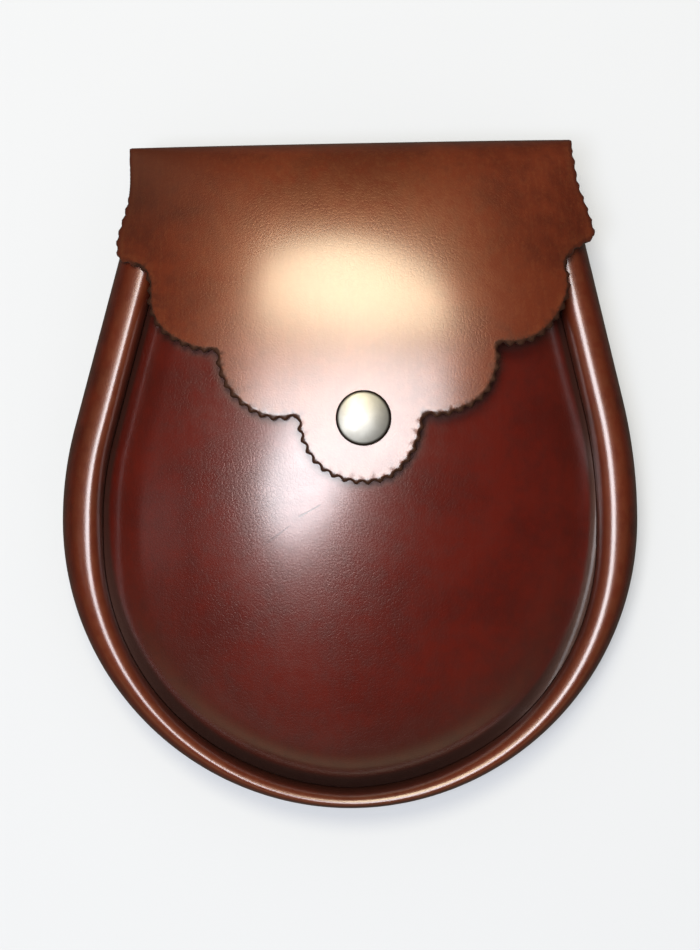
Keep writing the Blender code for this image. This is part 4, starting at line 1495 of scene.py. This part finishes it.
    def place(self, points: np.ndarray) -> np.ndarray:
        """Returns the places of plan points (x, way) on the grain side."""
        x, way = points.T
        y, z = self.centre_line(way)[:2]
        skew = self.skew * smooth_step(1.0 + way / self.skew_run)
        rise = ((z - self.fold_radius) / (self.crest_z - self.fold_radius)).clip(0.0, 1.0)
        raised = np.where(way > self.top_way(), np.where(y > self.crest_y, rise, 1.0), 0.0)
        low = smooth_step((self.flat_y - y) / self.flat_run)
        curve = 1.0 / self.radius_high + (1.0 / self.radius_low - 1.0 / self.radius_high) * low
        beside = np.maximum(np.abs(x) - self.flat_half, 0.0)
        drop = 0.5 * curve * x ** 2 + beside ** 3 / (6.0 * self.side_bend ** 2)
        drop -= (self.tilt_high + (self.tilt_low - self.tilt_high) * low) * x
        return np.column_stack((x, y + skew * x, z - raised * drop))

    def bend(self, points: np.ndarray) -> tuple[np.ndarray, np.ndarray]:
        """Returns the places of plan points and the grain's normals there."""
        small = 0.05 * MM
        aside = self.place(points + (small, 0.0)) - self.place(points - (small, 0.0))
        onward = self.place(points + (0.0, small)) - self.place(points - (0.0, small))
        normal = np.cross(onward, aside)
        return self.place(points), normal / np.linalg.norm(normal, axis=1)[:, None]

    def on_side(self, x: np.ndarray) -> np.ndarray:
        """Returns how far points are on the outer sides of the upper scallops, from 0 to 1."""
        return smooth_step((np.abs(x) - self.side_x) / (3.0 * MM))

    def way_to(self, points: np.ndarray) -> np.ndarray:
        """Returns the plan points (x, way) at which the front shows the given (x, y)."""
        near = np.full(len(points), self.top_way())
        far = np.full(len(points), self.flap_way() + self.fold_y - 2.0 * OUTLINE.centre_y)
        for _ in range(50):
            middle = 0.5 * (near + far)
            above = self.place(np.column_stack((points[:, 0], middle)))[:, 1] > points[:, 1]
            near = np.where(above, middle, near)
            far = np.where(above, far, middle)
        return np.column_stack((points[:, 0], near))

    def cut(self, scallop: Scallop, plain: bool = False) -> np.ndarray:
        """Returns the cut edge of a scallop, without its last point.

        Args:
            scallop: The scallop.
            plain: Whether its teeth are left out.
        """
        dense = smooth_curve([(x * MM, y * MM) for x, y in scallop.points], 16)
        length = np.linalg.norm(np.diff(dense, axis=0), axis=1).sum()
        teeth = max(1, round(length / self.tooth_pitch))
        edge = resample(dense, teeth * self.tooth_points + 1)
        if not scallop.pinked or plain:
            return edge[:-1]
        direction = np.gradient(edge, axis=0)
        direction /= np.linalg.norm(direction, axis=1)[:, None]
        outward = np.column_stack((direction[:, 1], -direction[:, 0]))
        phase = np.arange(len(edge)) / self.tooth_points % 1.0
        bump = -0.5 * np.cos(2.0 * math.pi * phase)
        depth = self.tooth_depth * (1.0 - 0.5 * self.on_side(edge[:, 0]))
        return (edge - outward * (bump * depth)[:, None])[:-1]

    def shown_edge(self) -> np.ndarray:
        """Returns the flap's edge without its teeth, as the front shows it."""
        return np.concatenate([self.cut(scallop, plain=True) for scallop in self.scallops])

    def flap_edge(self, plain: bool = False) -> np.ndarray:
        """Returns the flap's cut edge as plan points, from the left end of the fold to the right one."""
        return self.way_to(np.concatenate([self.cut(scallop, plain) for scallop in self.scallops]))

    def back_edge(self) -> np.ndarray:
        """Returns the back's edge as plan points, from the right end of the fold to the left one."""
        stations = OUTLINE.stations(1.5 * MM)
        inset = OUTLINE.inset(stations, self.back_inset)[::-1]
        lower = inset[stations.at[::-1, 1] < self.back_spread_y]
        right = np.linspace((self.fold_right_x, self.fold_y), lower[0], 24)[:-1]
        left = np.linspace(lower[-1], (self.fold_left_x, self.fold_y), 24)[1:]
        return np.concatenate((right, lower, left)) - (0.0, self.fold_y)

    def build(self, palette: Palette, snap: "PressStud") -> bpy.types.Object:
        """Builds the back, the fold and the flap as one piece."""
        flap = self.flap_edge()
        rows = np.linspace(0.0, self.flap_way(), 40)[1:]
        left_rows = rows[rows < flap[0, 1] - 0.5 * MM]
        right_rows = rows[rows < flap[-1, 1] - 0.5 * MM][::-1]
        left = np.column_stack((np.full(len(left_rows), self.fold_left_x), left_rows))
        right = np.column_stack((np.full(len(right_rows), self.fold_right_x), right_rows))
        outline = np.concatenate((self.back_edge(), left, flap, right))
        untoothed = np.concatenate((self.back_edge(), left, self.flap_edge(plain=True), right))
        snap_at = self.way_to(np.array([(snap.x, snap.y)]))[0]
        hole = circle_points(tuple(snap_at), snap.barrel_radius + GAP, 32)
        low_way = OUTLINE.centre_y - OUTLINE.radius - self.fold_y
        reach = float(flap[:, 1].max())
        back = grid_points((-OUTLINE.radius, low_way), (OUTLINE.radius, -self.back_grid), self.back_grid)
        front = grid_points((-OUTLINE.radius, -0.5 * self.grid), (OUTLINE.radius, reach), self.grid)
        press_x = np.arange(-70.0, 70.0, 2.0) * MM
        press = np.column_stack((press_x, np.full(len(press_x), LIE.rest_y - self.fold_y)))
        sheet = Sheet(self.bend, [outline, hole], self.grid)
        mesh, plan, from_edge = sheet.build("back_and_flap", np.concatenate((back, front, press)))
        self.weather(mesh, plan, untoothed)
        piece = make_object("flap_and_back", mesh, palette.hide("flap_leather"))
        report(piece, BODY, "flap_leather", "back_and_flap")
        return piece

    def weather(self, mesh: bpy.types.Mesh, plan: np.ndarray, untoothed: np.ndarray) -> None:
        """Writes the dyed edge, the painted shade over the fold and in the top-left corner, the worn edge line
        with a painted glint, and the handled middle with a painted sheen.

        Args:
            mesh: The piece.
            plan: Its points' plan points.
            untoothed: The plan's edge without teeth.
        """
        past_top = plan[:, 1] - self.top_way()
        past_turn = plan[:, 1] - self.flap_way()
        on_flap = smooth_step((plan[:, 1] - 0.5 * self.flap_way()) / (10.0 * MM))
        depth = nearest(plan, untoothed) * np.where(inside(plan, untoothed), 1.0, -1.0)
        dyed = smooth_step((self.dyed_edge - depth) / self.dye_fade) * (1.0 - 0.65 * self.on_side(plan[:, 0]))
        # Painted shade where the fold turns over the top, away from the light.
        over_top = smooth_step(1.0 - np.abs(past_top - 3.0 * MM) / (9.0 * MM)) * self.top_shade
        # Painted shade darkening the flap towards its top-left corner.
        corner = smooth_step((-plan[:, 0] - 22.0 * MM) / (45.0 * MM)) * self.corner_shade
        corner *= smooth_step(1.0 - (past_top - 20.0 * MM) / (30.0 * MM))
        set_attribute(mesh, SHADE, np.maximum.reduce((dyed * on_flap, over_top, corner * on_flap)))
        # A lighter line just inside the cut edge: rubbed wear, and a painted highlight along the bevel.
        edge_wear_and_glint = smooth_step(1.0 - np.abs(depth - 1.8 * MM) / (0.8 * MM)) * self.rubbed_edge_and_glint
        # A golden patch in the middle of the flap: handling wear, and painted sheen that spreads the
        # highlight's warm glow.
        far = np.hypot(plan[:, 0], 1.2 * (past_turn - 22.0 * MM)) / self.handling_and_sheen_reach
        set_attribute(mesh, WEAR, np.maximum(edge_wear_and_glint, smooth_step(1.0 - far) * self.handling_and_sheen) * on_flap)


# Press stud


@dataclass
class PressStud:
    """The domed cap with its barrel, and the plain post inside it."""

    x: float = 3.9 * MM
    y: float = 16.5 * MM
    cap_radius: float = 8.05 * MM
    cap_edge: float = 0.7 * MM
    cap_rise: float = 2.4 * MM
    dome_edge: float = 7.45 * MM
    dome_radius: float = 31.0 * MM
    roll: float = 1.3 * MM
    rim_round: float = 0.35 * MM
    tip_round: float = 0.2 * MM
    barrel_radius: float = 3.2 * MM
    barrel_bore: float = 2.2 * MM
    barrel_flange_radius: float = 5.0 * MM
    barrel_flange: float = 0.6 * MM
    ceiling: float = 0.6 * MM
    post_radius: float = 1.9 * MM
    post_flange_radius: float = 5.5 * MM
    post_flange: float = 0.9 * MM
    sides: int = 96
    dome_steps: int = 16

    def lathe(self, name: str, profile: list[tuple[float, float]]) -> bpy.types.Mesh:
        """Turns a profile of (radius, height) that starts and ends on the axis, about the stud's axis."""
        shape = bmesh.new()
        verts = [shape.verts.new((radius, 0.0, z)) for radius, z in profile]
        edges = [shape.edges.new(pair) for pair in zip(verts, verts[1:])]
        bmesh.ops.spin(shape, geom=verts + edges, cent=(0.0, 0.0, 0.0), axis=(0.0, 0.0, 1.0),
                       angle=2.0 * math.pi, steps=self.sides, use_duplicate=False)
        bmesh.ops.remove_doubles(shape, verts=shape.verts, dist=0.001 * MM)
        bmesh.ops.recalc_face_normals(shape, faces=shape.faces)
        mesh = bpy.data.meshes.new(name)
        shape.to_mesh(mesh)
        shape.free()
        radii = np.array([math.hypot(*vert.co[:2]) for vert in mesh.vertices])
        # Darkens the cap's rolled edge: tarnish, and painted shade for the gap and dark reflection there.
        set_attribute(mesh, TARNISH_AND_SHADE, smooth_step((radii - self.dome_edge + 0.1 * MM) / (0.15 * MM)))
        mesh.transform(Matrix.Translation((self.x, self.y, 0.0)))
        smooth(mesh, 40.0)
        return mesh

    def build(self, palette: Palette, hide: BackAndFlap, front: FrontPanel) -> None:
        """Builds the cap and the post."""
        def flap_top(x: float) -> float:
            """Returns the height of the flap's grain side level with the stud."""
            return float(hide.place(hide.way_to(np.array([(x, self.y)])))[0, 2])

        seat = flap_top(self.x) + GAP
        under = flap_top(self.x + self.barrel_flange_radius) - LEATHER - GAP
        foot = under - self.barrel_flange
        top = seat + self.cap_edge + self.cap_rise
        shoulder = top - self.dome_edge ** 2 / (2.0 * self.dome_radius)
        profile = [
            (0.0, seat + self.ceiling),
            (self.barrel_bore, seat + self.ceiling),
            (self.barrel_bore, foot),
            (self.barrel_flange_radius, foot),
            (self.barrel_flange_radius, under),
            (self.barrel_radius, under),
            (self.barrel_radius, seat),
            (self.cap_radius - self.rim_round, seat),
        ]
        profile += quarter((self.cap_radius - self.rim_round, seat + self.rim_round),
                           (self.rim_round, self.rim_round), -0.5 * math.pi + 0.3, 0.0, 5)
        profile += quarter((self.dome_edge, shoulder - self.roll),
                           (self.cap_radius - self.dome_edge, self.roll),
                           0.0, 0.5 * math.pi - self.dome_edge / self.dome_radius, 10)
        radii = np.linspace(self.dome_edge, 0.0, self.dome_steps)
        profile += [(radius, top - radius ** 2 / (2.0 * self.dome_radius)) for radius in radii]
        cap = make_object("stud_cap", self.lathe("stud_cap", profile), [palette.materials["stud_nickel"]])
        report(cap, BODY, "stud_nickel", "snap_cap")
        reach = front.crown(np.array([(self.x + self.post_flange_radius, self.y)]))[0] - LEATHER - GAP
        tip = flap_top(self.x) + self.ceiling
        plain = [
            (0.0, reach - self.post_flange),
            (self.post_flange_radius, reach - self.post_flange),
            (self.post_flange_radius, reach),
            (self.post_radius, reach),
            (self.post_radius, tip - self.tip_round),
            (self.post_radius - self.tip_round, tip),
            (0.0, tip),
        ]
        post = make_object("stud_post", self.lathe("stud_post", plain), [palette.materials["post_steel"]])
        report(post, BODY, "post_steel", "snap_post")


# Belt loops


@dataclass
class BeltLoop:
    """A strap sewn flat at both ends, whose middle lies on the floor."""

    name: str
    node: str
    x: float
    width: float = 25.0 * MM
    low_y: float = 26.0 * MM
    high_y: float = 81.0 * MM
    tab: float = 8.0 * MM
    leg: float = 5.0 * MM
    bend: float = 3.5 * MM
    bend_steps: int = 12
    corner: float = 0.5 * MM
    sew_inset: float = 2.5 * MM
    sew_margin: float = 1.8 * MM
    dark_edge: float = 1.0 * MM
    edge_shade: float = 0.6

    def line(self) -> list[Vector]:
        """Lists the strap's outer line as (y, z), with rounded bends."""
        seat = -GAP - LEATHER
        low_foot, high_foot = self.low_y + self.tab, self.high_y - self.tab
        low_turn, high_turn = low_foot + self.leg, high_foot - self.leg
        corners = [Vector(point) for point in (
            (self.low_y, seat), (low_foot, seat), (low_turn, LIE.floor_below(low_turn)),
            (high_turn, LIE.floor_below(high_turn)), (high_foot, seat), (self.high_y, seat))]
        outer = [corners[0]]
        for before, corner, after in zip(corners, corners[1:], corners[2:]):
            back, ahead = (before - corner).normalized(), (after - corner).normalized()
            half = 0.5 * back.angle(ahead)
            centre = corner + (back + ahead).normalized() * self.bend / math.sin(half)
            reach = self.bend / math.tan(half)
            start, end = corner + back * reach - centre, corner + ahead * reach - centre
            for i in range(self.bend_steps + 1):
                outer.append(centre + start.lerp(end, i / self.bend_steps).normalized() * self.bend)
        outer.append(corners[-1])
        return outer

    def tree(self, material: bpy.types.Material) -> bpy.types.NodeTree:
        """Builds the nodes that draw a strap with rounded edges along its path."""
        inputs = {"Geometry": ("Path",), "Float": ("Width", "Thickness", "Corner")}
        nodes = start_group(self.name, inputs, {"Geometry": ("Strap",)}, "GeometryNodeTree")
        given = nodes.add("NodeGroupInput").outputs
        line = nodes.add("GeometryNodeMeshToCurve", {"Mesh": given["Path"]}).outputs["Curve"]
        level = nodes.add("GeometryNodeSetCurveNormal", {"Curve": line}, mode="Z_UP").outputs["Curve"]
        flat = nodes.add("GeometryNodeCurvePrimitiveQuadrilateral", {"Width": given["Width"],
                                                                     "Height": given["Thickness"]})
        section = nodes.add("GeometryNodeFilletCurve", {"Curve": flat.outputs["Curve"], "Count": 4,
                                                        "Radius": given["Corner"]}, mode="POLY")
        strap = nodes.add("GeometryNodeCurveToMesh", {"Curve": level, "Profile Curve": section.outputs["Curve"],
                                                      "Fill Caps": True})
        real = nodes.add("GeometryNodeRealizeInstances", {"Geometry": strap.outputs["Mesh"]})
        dressed = nodes.add("GeometryNodeSetMaterial", {
            "Geometry": real.outputs["Geometry"], "Material": material})
        nodes.add("NodeGroupOutput", {"Strap": dressed.outputs["Geometry"]})
        return nodes.tree

    def build(self, palette: Palette) -> list[Seam]:
        """Builds the strap, and returns the seams that hold it."""
        outer = np.array(self.line())
        directions = np.gradient(outer, axis=0)
        directions /= np.linalg.norm(directions, axis=1)[:, None]
        middle = outer + 0.5 * LEATHER * np.column_stack((-directions[:, 1], directions[:, 0]))
        path = bpy.data.meshes.new(self.name + "_path")
        path.from_pydata([(self.x, *point) for point in middle.tolist()],
                         [(i, i + 1) for i in range(len(middle) - 1)], [])
        material = palette.materials["strap_leather"]
        sizes = {"Width": self.width, "Thickness": LEATHER, "Corner": self.corner}
        mesh = grow(path, self.tree(material), sizes)
        turn_outwards(mesh)
        aside = np.abs(np.array([vert.co.x for vert in mesh.vertices]) - self.x)
        edge = smooth_step((aside - 0.5 * self.width + self.dark_edge) / self.dark_edge)
        set_attribute(mesh, SHADE, edge * self.edge_shade)
        set_attribute(mesh, WEAR, np.zeros(edge.size))
        smooth(mesh, 50.0)
        piece = make_object(self.name, mesh, [material])
        report(piece, BODY, "strap_leather", self.node)
        return self.seams()

    def seams(self) -> list[Seam]:
        """Lists the box of stitches on each tab."""
        level = -GAP - LEATHER
        boxes = []
        inset = self.sew_inset
        for low, high in ((self.low_y, self.low_y + self.tab), (self.high_y - self.tab, self.high_y)):
            x0, x1 = self.x - 0.5 * self.width + inset, self.x + 0.5 * self.width - inset
            y0, y1 = low + self.sew_margin, high - self.sew_margin
            corners = np.array([(x0, y0, level), (x1, y0, level), (x1, y1, level), (x0, y1, level)])
            boxes.append(Seam(corners, np.tile((0.0, 0.0, -1.0), (4, 1)), Way.CLOSED))
        return boxes


# Studio


@dataclass(frozen=True)
class SoftLight:
    """A soft light, by how far it stands from the line of sight towards the top and the right, in degrees."""

    name: str
    up: float
    right: float
    height: float
    width: float
    radiance: float
    colour: tuple[float, float, float]


@dataclass
class Studio:
    """The floor, the lights and the camera."""

    eye_distance: float = 650.0 * MM
    lens: float = 79.5
    light_distance: float = 1.25
    aim: tuple[float, float, float] = (0.0, 0.0, 30.0 * MM)
    lights: tuple[SoftLight, ...] = (
        SoftLight("warm_light", 20.5, -5.0, 18.5, 20.0, 29.0, (1.0, 0.90, 0.64)),
        SoftLight("cool_light", -2.5, -8.0, 28.0, 17.5, 27.5, (0.90, 0.94, 1.0)),
        SoftLight("side_light", -15.0, -50.0, 14.0, 11.0, 0.8, (1.0, 0.80, 0.78)),
    )
    fill: tuple[float, float, float, float] = rgb(0.42, 0.42, 0.42)
    backdrop: tuple[float, float, float, float] = rgb(0.92, 0.92, 0.92)
    floor_size: float = 60.0
    floor_colour: tuple[float, float, float, float] = rgb(0.29, 0.30, 0.325)
    floor_glow: float = 0.335
    floor_bounce: tuple[float, float, float, float] = rgb(0.05, 0.045, 0.04)

    def light_floor(self) -> None:
        """Lays the pale floor."""
        mesh = bpy.data.meshes.new("floor")
        half = 0.5 * self.floor_size
        mesh.from_pydata([(-half, -half, 0.0), (half, -half, 0.0), (half, half, 0.0), (-half, half, 0.0)], [],
                         [(0, 1, 2, 3)])
        material, nodes, shader = start_material("pale_floor")
        seen = nodes.add("ShaderNodeLightPath").outputs["Is Camera Ray"]
        nodes.feed(shader.inputs["Base Color"], nodes.blend(seen, self.floor_bounce, self.floor_colour))
        glow = rgb(self.floor_glow, self.floor_glow, self.floor_glow)
        nodes.feed(shader.inputs["Emission Color"], nodes.blend(seen, rgb(0.0, 0.0, 0.0), glow))
        shader.inputs["Emission Strength"].default_value = 1.0
        shader.inputs["Roughness"].default_value = 1.0
        shader.inputs["Specular IOR Level"].default_value = 0.0
        mesh.materials.append(material)
        floor = bpy.data.objects.new("floor", mesh)
        bpy.context.scene.collection.objects.link(floor)

    def hang(self, light: SoftLight) -> None:
        """Hangs one soft light."""
        up, right = math.radians(light.up), math.radians(light.right)
        direction = Vector((math.tan(right), math.tan(up), 1.0)).normalized()
        width = 2.0 * self.light_distance * math.tan(math.radians(0.5 * light.width))
        height = 2.0 * self.light_distance * math.tan(math.radians(0.5 * light.height))
        data = bpy.data.lights.new(light.name, "AREA")
        data.shape = "ELLIPSE"
        data.size = width
        data.size_y = height
        data.energy = light.radiance * math.pi * 0.25 * math.pi * width * height
        data.color = light.colour
        lamp = bpy.data.objects.new(light.name, data)
        bpy.context.scene.collection.objects.link(lamp)
        matrix = LIE.matrix()
        target = matrix @ Vector(self.aim)
        place = matrix @ (Vector(self.aim) + direction * self.light_distance)
        lamp.location = place
        lamp.rotation_euler = (place - target).to_track_quat("Z", "Y").to_euler()
        lamp.visible_camera = False

    def surround(self) -> None:
        """Sets the room's light: pale to the eye, dim overhead and brighter at the horizon."""
        world = bpy.data.worlds.new("studio")
        bpy.context.scene.world = world
        world.use_nodes = True
        nodes = Nodes(world.node_tree)
        world.node_tree.nodes.clear()
        direction = nodes.add("ShaderNodeTexCoord").outputs["Generated"]
        way = nodes.add("ShaderNodeSeparateXYZ", {0: direction}).outputs
        near = nodes.span(way["Y"], -0.95, -0.25, 1.0, 0.04)
        glow = nodes.math("MULTIPLY", nodes.span(way["Z"], 0.05, 0.72, 1.0, 0.0), near)
        room = nodes.blend(glow, rgb(0.022, 0.015, 0.012), rgb(0.78, 0.72, 0.46))
        rays = nodes.add("ShaderNodeLightPath").outputs
        room = nodes.blend(rays["Is Diffuse Ray"], room, self.fill)
        colour = nodes.blend(rays["Is Camera Ray"], room, self.backdrop)
        back = nodes.add("ShaderNodeBackground", {"Color": colour, "Strength": 1.0})
        nodes.add("ShaderNodeOutputWorld", {"Surface": back.outputs[0]})

    def place_camera(self) -> None:
        """Places the camera square to the pouch's front."""
        data = bpy.data.cameras.new("camera")
        data.lens = self.lens
        data.clip_start = 0.01
        camera = bpy.data.objects.new("camera", data)
        bpy.context.scene.collection.objects.link(camera)
        camera.matrix_world = LIE.matrix() @ Matrix.Translation((0.0, 0.0, self.eye_distance))
        bpy.context.scene.camera = camera

    def build(self) -> None:
        """Sets up the whole studio."""
        self.light_floor()
        for light in self.lights:
            self.hang(light)
        self.surround()
        self.place_camera()
        bpy.context.scene.view_settings.view_transform = "Standard"


# The whole pouch


@dataclass
class Pouch:
    """All the pieces of the pouch, and the stitches that join them."""

    gusset: Gusset = field(default_factory=Gusset)
    front: FrontPanel = field(default_factory=FrontPanel)
    hide: BackAndFlap = field(default_factory=BackAndFlap)
    stud: PressStud = field(default_factory=PressStud)
    loops: tuple[BeltLoop, ...] = (
        BeltLoop("loop_left", "belt_loop_left", -38.0 * MM),
        BeltLoop("loop_right", "belt_loop_right", 38.0 * MM),
    )
    seam_below: float = 3.2 * MM
    back_seam_inset: float = 3.2 * MM
    back_seam_top: float = 55.0 * MM
    stitch_proud: float = 0.5 * MM

    def front_seam(self) -> Seam:
        """Returns the hidden seam of a turned pouch, inside, on the front's turned-in edge."""
        stations = OUTLINE.stations(2.0 * MM)
        points = OUTLINE.inset(stations, stations.rim + self.front.seam_gap + LEATHER)
        height = self.front.seam_z - OUTLINE.groove(stations.turn) - self.seam_below
        up = np.column_stack((-stations.normal, np.zeros(len(points))))
        return Seam(np.column_stack((points, height))[2:-2], up[2:-2])

    def back_seam(self) -> Seam:
        """Returns the seam that joins the gusset to the back, near the back's edge."""
        stations = OUTLINE.stations(2.0 * MM)
        keep = stations.at[:, 1] < self.back_seam_top
        points = OUTLINE.inset(stations, self.hide.back_inset + self.back_seam_inset)[keep]
        sunk = np.maximum(0.0, (LIE.rest_y - points[:, 1]) * math.tan(LIE.lean) + self.stitch_proud)
        return Seam(np.column_stack((points, sunk)), np.tile((0.0, 0.0, -1.0), (len(points), 1)))

    def build(self, palette: Palette) -> None:
        """Builds every piece."""
        self.hide.build(palette, self.stud)
        self.front.build(palette, self.stud, self.hide)
        self.gusset.build(palette)
        self.stud.build(palette, self.hide, self.front)
        thread = palette.materials["waxed_thread"]
        loop_seams = [seam for loop in self.loops for seam in loop.build(palette)]
        rows = (
            (Stitching("front_stitches", "rim_leather", pitch=2.6 * MM, length=1.9 * MM, thread=0.27 * MM),
             [self.front_seam()]),
            (Stitching("back_stitches", "flap_leather", rise=0.1 * MM), [self.back_seam()]),
            (Stitching("loop_stitches", "strap_leather", rise=0.1 * MM), loop_seams),
        )
        for stitching, seams in rows:
            piece = stitching.sew(seams, thread)
            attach(piece, BODY)
            log.info("%s: %d faces", piece.name, len(piece.data.polygons))


def main() -> None:
    """Builds the studio and the pouch."""
    logging.basicConfig(level=logging.INFO, format="%(message)s")
    palette = Palette()
    palette.make()
    Studio().build()
    Pouch().build(palette)


if __name__ == "__main__":
    main()
